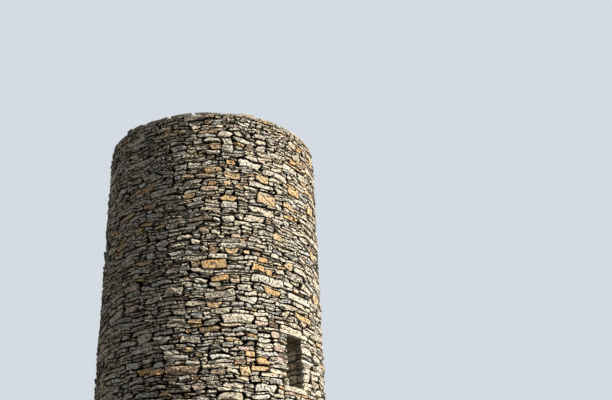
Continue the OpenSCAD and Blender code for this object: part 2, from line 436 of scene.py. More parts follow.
outer_holes = [strip_rectangle(DOOR_ANGLE, door_high[0], 0, door_high[2])]
outer_slabs = [strip_rectangle(DOOR_ANGLE, door_lintel[1][0], door_lintel[0][2],
                               door_lintel[1][2])]
for angle in (RIGHT_ANGLE, LEFT_ANGLE):
    outer_holes.append(strip_rectangle(angle, window_high[1], window_low[2], window_high[2]))
    for low, high in (window_lintel, window_sill):
        outer_slabs.append(strip_rectangle(angle, high[1], low[2], high[2]))

marked_rows, marked_colours = [], []
for pixel, wide, tall, colour in MARKED_STONES.values():
    angle, z = wall_place(pixel)
    middle = along_strip(angle)
    marked_rows.append((middle - wide / 2, middle + wide / 2, z - tall / 2, z + tall / 2))
    marked_colours.append(colour)
print(f"the strip is {STRIP:.2f} m long with {len(outer_holes)} holes and "
      f"{len(outer_slabs)} slabs")

# %% [markdown]
# ## Sizes of the outer stones
# Split schist comes off in flat pieces: mostly 4 to 12 cm thick and two to six times as long.
# Both follow a bell curve of their logarithm, which gives many middling stones and a few large
# ones, and never a negative size.

# %% Lay the outer face
LONGEST_STONE = 0.66
LENGTH_SPREAD = 0.40


def stone_sizes(middling, spread, limits, ratio, shortest, at_foot=1.0, less_a_metre=0.0):
    """A function that picks the thickness and the length of a stone at a level.

    The thickness is the middling one times e to a normal number times the spread, and shrinks
    with the height. The length is the thickness times a ratio times e to another such number.
    """
    def size(level, rng):
        thick = middling * math.exp(spread * rng.standard_normal())
        thick = min(max(thick * (at_foot - less_a_metre * level), limits[0]), limits[1])
        long = thick * ratio * math.exp(LENGTH_SPREAD * rng.standard_normal())
        return thick, min(max(long, shortest), LONGEST_STONE)
    return size


rubble_size = stone_sizes(0.069, 0.42, (0.038, 0.19), 3.65, 0.12, at_foot=1.10,
                          less_a_metre=0.014)
CAP_THICK = 0.05
outer_rng = np.random.default_rng(7)
outer_rows = lay_stones(STRIP, TOP_Z - CAP_THICK, rubble_size, outer_rng,
                        fixed=outer_holes + outer_slabs + marked_rows)
outer_rows = np.vstack([outer_rows, marked_rows])
print(len(outer_rows), "stones on the outer face, mean length",
      round(float(np.mean(outer_rows[:, 1] - outer_rows[:, 0])), 3))

# %% [markdown]
# ## Let the courses wander
# Rectangles would look like brickwork. Real beds rise and fall, and joints lean. Both come from
# waves added to the places on the strip: long waves make the courses wander, short ones make
# stones thicker at one end. Neighbours share the waves, so the joints between them stay closed.
# The waves die out towards holes, lintels and the foot, where the work is straight. The number
# of waves round a strip is rounded to a whole one, so they meet at the seam.

# %% Waves over a strip
BED_WAVES = [(0.022, 4, 0.10, 0.3), (0.014, 11, -0.22, 2.1), (0.012, 23, 0.55, 4.0),
             (0.009, 37, 1.9, 1.0), (0.005, 59, -3.1, 5.0)]
JOINT_WAVES = [(0.012, 31, 5.1, 0.6), (0.011, 53, -8.3, 3.3), (0.006, 83, 12.3, 1.9)]
CALM = 0.22
CALM_AT_ENDS = 1.5


def waves(along, up, table, length):
    """A sum of sines. Each has a height, waves round the keep, waves a metre up and a shift."""
    total = np.zeros_like(along)
    for size, turns, rises, shift in table:
        turns = round(turns * length / STRIP)
        total += size * np.sin(FULL_TURN * (turns * along / length + rises * up) + shift)
    return total


def calm_near(along, up, rectangles, foot, top):
    """0 at the rectangles, the foot and the top, rising smoothly to 1 at the distance CALM.

    The distance from the foot and the top counts for more, so the calm band there is narrower.
    """
    away = np.maximum(np.minimum(up - foot, top - up), 0) * CALM_AT_ENDS
    for left, right, low, high in rectangles:
        beside = np.maximum(np.maximum(left - along, along - right), 0)
        above = np.maximum(np.maximum(low - up, up - high), 0)
        away = np.minimum(away, np.hypot(beside, above))
    share = np.clip(away / CALM, 0, 1)
    return share * share * (3 - 2 * share)


def wandering(length, rectangles, foot, top):
    """A function that moves places on a strip by the waves."""
    def wander(along, up):
        calm = calm_near(along, up, rectangles, foot, top)
        return (along + calm * waves(along, up, JOINT_WAVES, length),
                up + calm * waves(along, up, BED_WAVES, length))
    return wander


print(len(BED_WAVES), "bed waves and", len(JOINT_WAVES), "joint waves")

# %% [markdown]
# ## Surfaces that stones lie on
# A stone is the same shape wherever it is: only the surface under it changes. Each surface is a
# function from places on a strip to points in space and outward directions.

# %% The surfaces


def outer_face(along, up):
    """The leaning wall: the angle is the distance along over the strip's radius."""
    angle = SEAM_ANGLE + along / STRIP_R
    radius = wall_radius(up)
    points = np.stack([radius * np.cos(angle), radius * np.sin(angle), up], axis=-1)
    outward = np.stack([np.cos(angle), np.sin(angle), np.full_like(angle, LEAN)], axis=-1)
    return points, outward


def room_face(radius):
    """A round room seen from inside: the angle falls by the distance along over the radius."""
    def face(along, up):
        angle = SEAM_ANGLE - along / radius
        inward = np.stack([-np.cos(angle), -np.sin(angle), np.zeros_like(angle)], axis=-1)
        return np.concatenate([-radius * inward[..., :2], up[..., None]], axis=-1), inward
    return face


def path_face(path):
    """An upright face over straight lines in plan, seen from the right of the path.

    A place is the start of its line plus the line's direction times the distance along it.
    """
    corners = np.array(path, float)
    steps = np.diff(corners, axis=0)
    lengths = np.hypot(*steps.T)
    starts = np.concatenate([[0], np.cumsum(lengths)[:-1]])
    ways = steps / lengths[:, None]

    def face(along, up):
        leg = np.clip(np.searchsorted(starts, along, side="right") - 1, 0, len(steps) - 1)
        plan = corners[leg] + ways[leg] * (along - starts[leg])[..., None]
        outward = np.stack([ways[leg][..., 1], -ways[leg][..., 0], np.zeros_like(along)], axis=-1)
        return np.concatenate([plan, up[..., None]], axis=-1), outward
    return face, float(lengths.sum())


def flat_face(z, x0, y0):
    """A level face at the height z whose strip starts at the corner x0, y0."""
    def face(along, across):
        points = np.stack([x0 + along, y0 + across, np.full_like(along, z)], axis=-1)
        return points, np.broadcast_to([0.0, 0.0, 1.0], points.shape)
    return face


def ring_face(z, outer_r):
    """A level ring at the height z. Places run round the ring and then inwards from its edge."""
    def face(along, inwards):
        angle = SEAM_ANGLE + along / outer_r
        radius = outer_r - inwards
        points = np.stack([radius * np.cos(angle), radius * np.sin(angle),
                           np.full_like(angle, z)], axis=-1)
        return points, np.broadcast_to([0.0, 0.0, 1.0], points.shape)
    return face


print("surfaces: outer_face, room_face, path_face, flat_face, ring_face")

# %% [markdown]
# ## The shape of one stone
# From the front a stone is a rectangle with cut corners. From the side it has a face that rises or
# sinks a little to its middle, a broken arris, its widest girth just behind that, and a back that
# is buried in the wall. So it is an outline carried along a profile of rings, closed by a fan at
# each end. All stones share the same numbering, so one array operation shapes a whole wall.
#
# What differs from wall to wall is a look, a dict of sizes in metres and shares:
# - gap: the narrowest and the broadest joint; cut: the least and the most of a cut corner
# - slant and wedge: how far the ends lean and the beds close up, as the spread of a bell curve
# - tilt, with its limit swing: how far the face turns; uneven, proud and proud_range: how far it
#   stands out from the wall; crown: how far its middle rises or sinks, for each metre of height
# - back: the depth of the stone; bevel and worn: the broken arris; rough: unevenness of a ring

# %% Outline of the stones
LONGEST_SLANT = 0.34
WIDEST_SLANT = 0.060
STEEPEST_SLANT = 0.6
LARGEST_CUT = 0.045
LONGEST_CUT = 0.44
CUT_PAST_SLANT = 1.15
# The least share up an end, the most at a square end, and what a free corner adds to that.
CUT_UP = (0.06, 0.10, 0.37)
# Powers of an even random share, which favour narrow joints and small cuts.
GAP_BIAS = 1.7
CUT_BIAS = 2.2
DEEPEST_CHIP = 0.07
LEAST_FACE = (0.012, 0.010)


def outlines(rows, rng, look, square=None):
    """Places of the outline points of each stone, anticlockwise from the lower left.

    Each side is moved in by half a joint, each corner is cut by a share of the stone's
    thickness, each end slants and the stone is thinner at one end. Cuts and slants have a limit
    in metres too, so that a large stone leaves no large hole. An end that is marked in square,
    an array of (left, right) for each stone, stays upright with sharp corners.
    """
    count, points_along = len(rows), look["points_along"]
    narrow, broad = look["gap"]

    # The rectangle inside the joints, in metres along and up the strip.
    half = (narrow + (broad - narrow) * rng.random((count, 4)) ** GAP_BIAS) / 2
    left, right = rows[:, 0] + half[:, 0], rows[:, 1] - half[:, 1]
    low, high = rows[:, 2] + half[:, 2], rows[:, 3] - half[:, 3]
    wide, tall = np.maximum(right - left, LEAST_FACE[0]), np.maximum(high - low, LEAST_FACE[1])

    # Cuts and slants as shares of it, for the corners from the lower left round to the upper left.
    free = np.ones((count, 2)) if square is None else 1.0 - square
    at_corner = free[:, [0, 1, 1, 0]]
    least, most = look["cut"]
    cuts = least + (most - least) * rng.random((count, 4)) ** CUT_BIAS * at_corner
    slant = rng.normal(0, look["slant"], (count, 2))
    slant = slant * np.minimum(tall / wide, STEEPEST_SLANT)[:, None] * free
    most_slant = np.minimum(LONGEST_SLANT, WIDEST_SLANT / wide)[:, None]
    low_ends = np.clip(slant, 0, most_slant)
    high_ends = np.clip(-slant, 0, most_slant)
    ends = np.hstack([low_ends, high_ends[:, ::-1]])
    size = np.minimum(wide, tall)[:, None]
    cuts = np.minimum(cuts * size, LARGEST_CUT) / wide[:, None]
    cuts_along = np.maximum(np.minimum(cuts, LONGEST_CUT), ends * CUT_PAST_SLANT)
    cuts_up = rng.uniform(CUT_UP[0], CUT_UP[1] + CUT_UP[2] * at_corner)
    cuts_up = np.minimum(cuts_up, LARGEST_CUT / tall[:, None])

    # The points as shares a across and b up: bottom, right end, top and left end.
    share = np.linspace(0, 1, points_along)[None]
    bottom = cuts_along[:, :1] + share * (1 - cuts_along[:, 1:2] - cuts_along[:, :1])
    top = 1 - cuts_along[:, 2:3] - share * (1 - cuts_along[:, 2:3] - cuts_along[:, 3:])
    chips = rng.uniform(0, DEEPEST_CHIP, (count, 2, points_along))
    a = np.hstack([bottom, 1 - ends[:, 1:2], 1 - ends[:, 2:3], top, ends[:, 3:], ends[:, :1]])
    b = np.hstack([chips[:, 0], cuts_up[:, 1:2], 1 - cuts_up[:, 2:3], 1 - chips[:, 1],
                   1 - cuts_up[:, 3:], cuts_up[:, :1]])

    # Last the stone is made thinner at one end.
    wedge = rng.normal(0, look["wedge"], (count, 1)).clip(-2 * look["wedge"], 2 * look["wedge"])
    b = 0.5 + (b - 0.5) * (1 - np.abs(wedge) + 2 * wedge * (a - 0.5))
    return left[:, None] + a * wide[:, None], low[:, None] + b * tall[:, None]


print("a cut starts at most", LARGEST_CUT, "m from a bed, and an end leans by at most",
      WIDEST_SLANT, "m")

# %% Shells from outlines
BACK_SCALE = 0.95
RING_EDGE = [1.0, 0.7, 0.0]
RING_DEPTH = [0.08, 0.5, 1.0]
RINGS = len(RING_EDGE)
OFF_CENTRE = 0.25
CROWN_RANGE = (-1.0, 0.5)


def unit(vectors):
    """Vectors scaled to a length of one."""
    return vectors / np.linalg.norm(vectors, axis=-1, keepdims=True)


def stone_shells(rows, surface, rng, look, warp=None, back=None, inward=None, square=None):
    """Points of each stone, as an array (stones, points, 3), and its share of edge and depth.

    The outline lies on the surface and is then moved along the stone's own tilted direction
    onto one plane, so a stone on a round wall has a flat face. Each of the three rings, front,
    girth and back, is the outline drawn towards the middle by a scale and pushed into the wall
    by a depth. A point near the middle of the face closes the front.

    warp moves the places on the strip. back gives each stone's depth, inward its direction into
    the wall and square its upright ends, where they differ from the usual.
    """
    along, up = outlines(rows, rng, look, square)
    if warp:
        along, up = warp(along, up)
    points = surface(along, up)[0]
    middle, outward = surface(along.mean(axis=1), up.mean(axis=1))
    count, around = along.shape
    wide, tall = np.ptp(along, axis=1), np.ptp(up, axis=1)
    most_tilt = look["swing"] * 2 / np.stack([wide, tall], axis=1)
    tilt = np.clip(rng.normal(0, look["tilt"], (count, 2)), -most_tilt, most_tilt)

    # The stone's own axes, and its outline moved along the outward one onto a plane.
    way_along = unit(points[:, look["points_along"]] - points[:, -1])
    way_up = unit(np.cross(outward, way_along))
    facing = unit(unit(outward) + tilt[:, :1] * way_along + tilt[:, 1:] * way_up)
    over = np.einsum("nkc,nc->nk", points - middle[:, None], facing)
    proud = np.clip(rng.normal(look["proud"], look["uneven"], count), *look["proud_range"])
    proud += over.mean(axis=1)
    plane = points - (over - proud[:, None])[..., None] * facing[:, None]
    centre = plane.mean(axis=1)
    into = -facing if inward is None else np.where(np.isnan(inward), -facing, inward)
    back = np.full(count, look["back"]) if back is None else back

    # The three rings, the point in front of them and the point behind.
    scale = np.array([1 - look["worn"], 1.0, BACK_SCALE])
    depth = np.stack([np.zeros(count), np.full(count, look["bevel"]), back], axis=1)
    rings = centre[:, None, None] + (plane - centre[:, None])[:, None] * scale[:, None, None]
    rough = rng.normal(0, look["rough"], (count, RINGS, around))
    rough[:, -1] = 0
    rings += (depth[..., None] + rough)[..., None] * into[:, None, None]
    lean = rng.uniform(-OFF_CENTRE, OFF_CENTRE, (count, 2)) * np.stack([wide, tall], axis=1)
    lump = rng.uniform(*CROWN_RANGE, count) * look["crown"] * tall
    front = centre + lean[:, :1] * way_along + lean[:, 1:] * way_up + lump[:, None] * into
    rear = centre[:, None] + depth[:, -1:][..., None] * into[:, None]
    shells = np.concatenate([front[:, None], rings.reshape(count, -1, 3), rear], axis=1)
    edge = np.concatenate([[0.0], np.repeat(RING_EDGE, around), [0.0]])
    deep = np.concatenate([[0.0], np.repeat(RING_DEPTH, around), [1.0]])
    return shells, edge, deep


def shell_faces(around):
    """Triangles and quads of one shell: a fan, bands between the rings, and a fan."""
    j = np.arange(around)
    following = (j + 1) % around
    last = 1 + (RINGS - 1) * around
    front = np.stack([np.zeros_like(j), 1 + j, 1 + following], axis=1)
    rear = np.stack([np.full_like(j, 1 + RINGS * around), last + following, last + j], axis=1)
    bands = []
    for ring in range(RINGS - 1):
        near, far = 1 + ring * around, 1 + (ring + 1) * around
        bands.append(np.stack([near + j, far + j, far + following, near + following], axis=1))
    return np.vstack([front, rear]), np.vstack(bands)


# Four points along each bed and two up each end.
FULL_OUTLINE = 12
triangles, quads = shell_faces(FULL_OUTLINE)
print("a full stone has", len(triangles) + 2 * len(quads), "triangles")

# %% [markdown]
# ## From arrays to a Blender object
# A mesh is filled by whole arrays with foreach_set, which is far quicker than adding faces one
# by one. Each stone carries two attributes that its material reads: its own colour, and a triple
# of how near a point is to an edge, how deep it lies in the joint, and a number of its own.

# %% Make one piece from shells


def add_piece(name, points, faces, material, values):
    """One object from points, a list of face arrays and a dict of colour attributes."""
    corners = np.concatenate([part.ravel() for part in faces])
    sizes = np.concatenate([np.full(len(part), part.shape[1]) for part in faces])
    mesh = bpy.data.meshes.new(name)
    mesh.vertices.add(len(points))
    mesh.vertices.foreach_set("co", points.astype(np.float32).ravel())
    mesh.loops.add(len(corners))
    mesh.loops.foreach_set("vertex_index", corners.astype(np.int32))
    mesh.polygons.add(len(sizes))
    starts = np.cumsum(sizes) - sizes
    mesh.polygons.foreach_set("loop_start", starts.astype(np.int32))
    mesh.update(calc_edges=True)
    mesh.validate()
    mesh.shade_flat()
    for attribute, data in values.items():
        layer = mesh.attributes.new(attribute, "FLOAT_COLOR", "POINT")
        filled = np.ones((len(points), 4), np.float32)
        filled[:, :3] = data
        layer.data.foreach_set("color", filled.ravel())
    mesh.materials.append(material)
    piece = bpy.data.objects.new(name, mesh)
    bpy.context.scene.collection.objects.link(piece)
    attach(piece, "root")
    return piece


def stones_piece(name, shells, edge, deep, colours, material, rng):
    """One object from the shells of many stones. edge and deep are shares for each point."""
    count, each = shells.shape[:2]
    edge, deep = np.broadcast_to(edge, (count, each)), np.broadcast_to(deep, (count, each))
    triangles, quads = shell_faces((each - 2) // RINGS)
    offsets = np.arange(count)[:, None, None] * each
    faces = [(triangles[None] + offsets).reshape(-1, 3), (quads[None] + offsets).reshape(-1, 4)]
    own = np.repeat(rng.random(count), each)
    parts = np.stack([edge.ravel(), deep.ravel(), own], axis=1)
    values = {"stone_color": np.repeat(colours, each, axis=0), "stone_parts": parts}
    return add_piece(name, shells.reshape(-1, 3), faces, material, values)


print("piece makers ready")

# %% [markdown]
# ## Nodes without the clutter
# Shader trees need many nodes, and spelling out each link hides the idea. One helper adds a node,
# changes its settings and fills its sockets, with a number where the value is fixed and with
# another node's output where it should be linked. Two more cover what the trees use most: moving
# a value from one range to another, and mixing two colours.

# %% Helpers for shader trees


def add_node(tree, kind, sockets=None, **settings):
    """A new shader node. sockets maps an input's name or number to a value or to an output."""
    made = tree.nodes.new("ShaderNode" + kind)
    for setting, value in settings.items():
        setattr(made, setting, value)
    for socket, source in (sockets or {}).items():
        if isinstance(source, bpy.types.NodeSocket):
            tree.links.new(source, made.inputs[socket])
        else:
            made.inputs[socket].default_value = source
    return made


def ranged(tree, value, from_low, from_high, to_low, to_high):
    """The value moved from one range to another and kept inside it."""
    sockets = {0: value, 1: from_low, 2: from_high, 3: to_low, 4: to_high}
    return add_node(tree, "MapRange", sockets).outputs[0]


def mixed(tree, mode, share, first, second):
    """Two colours mixed in a mode such as MIX or MULTIPLY."""
    return add_node(tree, "Mix", {0: share, 6: first, 7: second}, data_type="RGBA",
                    blend_type=mode).outputs[2]


def calculated(tree, operation, *values):
    """The result of a Math node."""
    return add_node(tree, "Math", dict(enumerate(values)), operation=operation).outputs[0]


def noise(tree, vector, scale, detail=4.0, roughness=0.6):
    """Noise between about 0.3 and 0.7."""
    sockets = {"Vector": vector, "Scale": scale, "Detail": detail, "Roughness": roughness}
    return add_node(tree, "TexNoise", sockets).outputs[0]


def new_group(name, inputs, outputs):
    """A node group with named sockets. Each input is a name, a kind and a value."""
    group = bpy.data.node_groups.new(name, "ShaderNodeTree")
    for label, kind, value in inputs:
        group.interface.new_socket(label, in_out="INPUT", socket_type=kind).default_value = value
    for label, kind in outputs:
        group.interface.new_socket(label, in_out="OUTPUT", socket_type=kind)
    return group, group.nodes.new("NodeGroupInput"), group.nodes.new("NodeGroupOutput")


def rgba(values):
    """Three values as the four that a colour socket takes."""
    return (*[float(value) for value in values], 1.0)


print("shader helpers ready")

# %% [markdown]
# ## Weathered schist
# Schist splits in layers, so its broken edge shows fine level streaks, and after centuries outside
# it is blotched with pale crust and black lichen. Its sides are darkened towards the joint as
# painted shade.
# Every stone surface here needs this, so it is a group. Its noise reads Object coordinates moved
# by the stone's own number, so the blotches stop at each joint instead of running on.
#
# The colour is built in layers. Broad blotches, a relief painted darker in its hollows as painted
# shade and lighter on its rises as painted highlight, and level streaks multiply the stone's own
# colour. Crust and lichen lie on top and an edge is a little paler. Then the colour is held at 1,
# as no stone gives back more light than it gets, and last it is darkened into the joint as painted
# shade.

# %% The group for weathered stone
PALE_CRUST, BLACK_LICHEN = linear(246, 238, 220), linear(34, 29, 22)
# The second colour is painted shade, which a stone's side darkens to deeper in the joint.
WORN_EDGE, PAINTED_JOINT_SHADE = linear(226, 220, 204), linear(20, 16, 11)
CRUST_SHARE, LICHEN_SHARE, EDGE_SHARE = 0.32, 0.85, 0.16
OWN_SHIFT = (37.0, 61.0, 23.0)
IN_LAYERS = (1.0, 1.0, 3.0)
# Each range is (noise from, noise to, value from, value to).
BLOTCHES = (0.38, 0.62, 0.70, 1.34)
RELIEF_SHADE_AND_HIGHLIGHT = (0.415, 0.485, 0.07, 1.70)
LEVEL_STREAKS = (0.38, 0.62, 0.68, 1.34)
CRUST_SPOTS = (0.49, 0.55, 0.0, 1.0)
LICHEN_SPOTS = (0.475, 0.435, 0.0, 1.0)
INTO_JOINT = (0.1, 0.75, 0.0, 0.95)
STONE_ROUGHNESS = (0.3, 0.7, 0.80, 0.96)
STREAK_BUMP, RELIEF_BUMP, GRAIN_BUMP = 0.35, 0.65, 0.10
weathered_stone, group_in, group_out = new_group(
    "weathered_stone",
    [("Stone", "NodeSocketColor", (0.5, 0.5, 0.5, 1)), ("Own", "NodeSocketFloat", 0.0),
     ("Edge", "NodeSocketFloat", 0.0), ("Depth", "NodeSocketFloat", 0.0),
     ("Lichen", "NodeSocketFloat", 1.0), ("Streaks", "NodeSocketFloat", 1.0)],
    [("Color", "NodeSocketColor"), ("Roughness", "NodeSocketFloat"),
     ("Height", "NodeSocketFloat")])
tree = weathered_stone
moved = add_node(tree, "VectorMath", {0: OWN_SHIFT, "Scale": group_in.outputs["Own"]},
                 operation="SCALE").outputs[0]
place = add_node(tree, "VectorMath", {0: add_node(tree, "TexCoord").outputs["Object"], 1: moved},
                 operation="ADD").outputs[0]
layered = add_node(tree, "VectorMath", {0: place, 1: IN_LAYERS},
                   operation="MULTIPLY").outputs[0]
mottle = noise(tree, place, 9.0, 6.0)
streaks = noise(tree, layered, 9.0, 6.0, 0.65)
grain = noise(tree, place, 70.0, 4.0, 0.7)
crust = ranged(tree, noise(tree, place, 15.0, 5.0, 0.65), *CRUST_SPOTS)
spots = ranged(tree, noise(tree, layered, 13.0, 6.0, 0.72), *LICHEN_SPOTS)
relief = noise(tree, place, 24.0, 3.0, 0.55)

body = group_in.outputs["Stone"]
# The relief's range darkens its hollows as painted shade and lightens its rises as painted
# highlight.
for most, pattern, factors in ((1.0, mottle, BLOTCHES),
                               (group_in.outputs["Lichen"], relief, RELIEF_SHADE_AND_HIGHLIGHT),
                               (group_in.outputs["Streaks"], streaks, LEVEL_STREAKS)):
    body = mixed(tree, "MULTIPLY", most, body, ranged(tree, pattern, *factors))
for growth, share, tone in ((crust, CRUST_SHARE, PALE_CRUST), (spots, LICHEN_SHARE, BLACK_LICHEN)):
    most = calculated(tree, "MULTIPLY", group_in.outputs["Lichen"], share)
    body = mixed(tree, "MIX", calculated(tree, "MULTIPLY", growth, most), body, rgba(tone))
body = mixed(tree, "MIX", calculated(tree, "MULTIPLY", group_in.outputs["Edge"], EDGE_SHARE),
             body, rgba(WORN_EDGE))

# Red is the highest channel of nearly every stone, so dividing by it keeps the hue.
red = add_node(tree, "SeparateColor", {0: body}).outputs[0]
body = mixed(tree, "MULTIPLY", 1.0, body, calculated(
    tree, "MINIMUM", 1.0, calculated(tree, "DIVIDE", 1.0, red)))
# Painted shade: the colour darkens with the depth into the joint.
body = mixed(tree, "MIX", ranged(tree, group_in.outputs["Depth"], *INTO_JOINT), body,
             rgba(PAINTED_JOINT_SHADE))
height = calculated(tree, "ADD", calculated(tree, "MULTIPLY", streaks, STREAK_BUMP),
                    calculated(tree, "MULTIPLY", relief, RELIEF_BUMP))
height = calculated(tree, "ADD", height, calculated(tree, "MULTIPLY", grain, GRAIN_BUMP))
tree.links.new(body, group_out.inputs["Color"])
tree.links.new(ranged(tree, grain, *STONE_ROUGHNESS), group_out.inputs["Roughness"])
tree.links.new(height, group_out.inputs["Height"])
print(len(tree.nodes), "nodes in the stone group")

# %% [markdown]
# ## The finishes
# The wall stones, the stones inside and the dressed slabs all use the group and read the
# attributes that each stone carries. Inside and on dressed slabs there is less lichen, and the
# relief's painted shade and highlight are weaker too. The bed behind the stones is lime and earth
# in the shadow between them, and its colour is darkened further as painted shade. The timber has a
# group of its own, because grain runs along a beam: its noise is stretched one way.

# %% Stone and bed materials


def new_material(name, specular=0.3):
    """A material with a Principled shader, and its tree and shader."""
    material = bpy.data.materials.new(name)
    material.use_nodes = True
    shader = material.node_tree.nodes["Principled BSDF"]
    shader.inputs["Specular IOR Level"].default_value = specular
    return material, material.node_tree, shader


def finish_shader(tree, shader, group_node, bump_depth):
    """Links a group's colour, roughness and height to the shader."""
    bump = add_node(tree, "Bump", {"Strength": 1.0, "Distance": bump_depth,
                                   "Height": group_node.outputs["Height"]})
    tree.links.new(group_node.outputs["Color"], shader.inputs["Base Color"])
    tree.links.new(group_node.outputs["Roughness"], shader.inputs["Roughness"])
    tree.links.new(bump.outputs[0], shader.inputs["Normal"])


def stone_material(name, lichen, streaks, bump_depth):
    """Weathered stone that takes its colour from each stone's own attributes.

    The first share weights the crust, the black spots and the relief's painted shade and
    highlight, the second share the streaks, and bump_depth is in metres.
    """
    material, tree, shader = new_material(name)
    own_colour = add_node(tree, "Attribute", attribute_name="stone_color")
    own_parts = add_node(tree, "Attribute", attribute_name="stone_parts")
    parts = add_node(tree, "SeparateColor", {0: own_parts.outputs["Color"]})
    sockets = {"Stone": own_colour.outputs["Color"], "Edge": parts.outputs[0],
               "Depth": parts.outputs[1], "Own": parts.outputs[2],
               "Lichen": lichen, "Streaks": streaks}
    group_node = add_node(tree, "Group", node_tree=weathered_stone)
    for socket, source in sockets.items():
        if isinstance(source, float):
            group_node.inputs[socket].default_value = source
        else:
            tree.links.new(source, group_node.inputs[socket])
    finish_shader(tree, shader, group_node, bump_depth)
    return material


# The first share also sets how strongly the relief's painted shade and highlight show.
rubble_finish = stone_material("rubble_schist", lichen=1.0, streaks=1.0, bump_depth=0.045)
room_finish = stone_material("room_schist", lichen=0.45, streaks=1.0, bump_depth=0.03)
slab_finish = stone_material("slab_schist", lichen=0.45, streaks=0.9, bump_depth=0.045)

# The bed's earth and lime colours are darkened further as painted shade in the joints.
EARTH_IN_PAINTED_SHADE, LIME_IN_PAINTED_SHADE = linear(26, 22, 17), linear(54, 46, 37)
BED_BUMP = 0.02
BED_ROUGHNESS = 0.95
bed_finish, tree, shader = new_material("lime_and_earth", specular=0.1)
bed_place = add_node(tree, "TexCoord").outputs["Object"]
bed_grain = noise(tree, bed_place, 38.0, 6.0, 0.7)
bed_colour = mixed(tree, "MIX", ranged(tree, bed_grain, 0.35, 0.65, 0, 1),
                   rgba(EARTH_IN_PAINTED_SHADE), rgba(LIME_IN_PAINTED_SHADE))
bed_bump = add_node(tree, "Bump", {"Strength": 1.0, "Distance": BED_BUMP, "Height": bed_grain})
tree.links.new(bed_colour, shader.inputs["Base Color"])
tree.links.new(bed_bump.outputs[0], shader.inputs["Normal"])
shader.inputs["Roughness"].default_value = BED_ROUGHNESS
print("finishes:", rubble_finish.name, room_finish.name, slab_finish.name, bed_finish.name)

# %% Timber materials
DARK_OAK, PALE_OAK, OAK_CRACK = linear(112, 88, 62), linear(146, 124, 96), linear(46, 36, 27)
OAK_BUMP = 0.004
OWN_GRAIN_SHIFT = (17.0, 41.0, 29.0)
FIBRES, OWN_LIGHTNESS = (0.3, 0.7, 0.72, 1.15), (0.0, 1.0, 0.80, 1.12)
OAK_ROUGHNESS = (0.3, 0.7, 0.62, 0.85)
ALONG_GRAIN = 0.06
timber_grain, group_in, group_out = new_group(
    "timber_grain", [("Stretch", "NodeSocketVector", (1.0, 1.0, 1.0)),
                     ("Own", "NodeSocketFloat", 0.0)],
    [("Color", "NodeSocketColor"), ("Roughness", "NodeSocketFloat"),
     ("Height", "NodeSocketFloat")])
tree = timber_grain
stretched = add_node(tree, "VectorMath", {0: add_node(tree, "TexCoord").outputs["Object"],
                                          1: group_in.outputs["Stretch"]},
                     operation="MULTIPLY").outputs[0]
moved = add_node(tree, "VectorMath", {0: OWN_GRAIN_SHIFT, "Scale": group_in.outputs["Own"]},
                 operation="SCALE").outputs[0]
place = add_node(tree, "VectorMath", {0: stretched, 1: moved}, operation="ADD").outputs[0]
fibres = noise(tree, place, 60.0, 6.0, 0.7)
years = noise(tree, place, 9.0, 3.0)
checks = ranged(tree, noise(tree, place, 24.0, 2.0), 0.36, 0.31, 0.0, 1.0)
wood = mixed(tree, "MIX", ranged(tree, years, 0.35, 0.65, 0, 1), rgba(DARK_OAK), rgba(PALE_OAK))
wood = mixed(tree, "MULTIPLY", 1.0, wood, ranged(tree, fibres, *FIBRES))
wood = mixed(tree, "MULTIPLY", 1.0, wood,
             ranged(tree, group_in.outputs["Own"], *OWN_LIGHTNESS))
wood = mixed(tree, "MIX", checks, wood, rgba(OAK_CRACK))
height = calculated(tree, "SUBTRACT", fibres, calculated(tree, "MULTIPLY", checks, 0.8))
tree.links.new(wood, group_out.inputs["Color"])
tree.links.new(ranged(tree, fibres, *OAK_ROUGHNESS), group_out.inputs["Roughness"])
tree.links.new(height, group_out.inputs["Height"])


def timber_material(name, stretch):
    """Weathered oak whose grain runs along the axis that has the smallest stretch."""
    material, tree, shader = new_material(name)
    group_node = add_node(tree, "Group", node_tree=timber_grain)
    group_node.inputs["Stretch"].default_value = stretch
    own_parts = add_node(tree, "Attribute", attribute_name="stone_parts")
    tree.links.new(own_parts.outputs["Fac"], group_node.inputs["Own"])
    finish_shader(tree, shader, group_node, OAK_BUMP)
    return material


oak_along_x = timber_material("oak_along_x", (ALONG_GRAIN, 1.0, 1.0))
oak_along_y = timber_material("oak_along_y", (1.0, ALONG_GRAIN, 1.0))
print("timber:", oak_along_x.name, oak_along_y.name)

# %% [markdown]
# ## A colour for every stone
# Most stones are warm grey or cream, some are ochre or rose where the rock holds iron, and some
# are blue grey. The list gives each colour and about how many in a hundred have it. The last
# three, from OCHRE_FROM on, lie in drifts, as they came from the quarry in loads, so a slow wave
# over the wall raises or lowers their share. A random factor makes each stone a little lighter
# or darker.

# %% Stone colours
STONE_COLOURS = [
    (linear(244, 234, 212), 28), (linear(236, 224, 198), 24), (linear(216, 205, 182), 16),
    (linear(232, 225, 210), 12), (linear(180, 170, 150), 6), (linear(171, 171, 165), 4),
    (linear(140, 116, 92), 4), (linear(240, 196, 128), 2.5), (TAN, 2.5), (ROSE, 2),
]
OCHRE_FROM = 7
DRIFT = 0.35
LIGHTNESS = (0.01, 0.28)
WARMTH = 0.03
WARMER = np.array([1.0, 0.0, -1.3])
LIGHTEST = 0.92


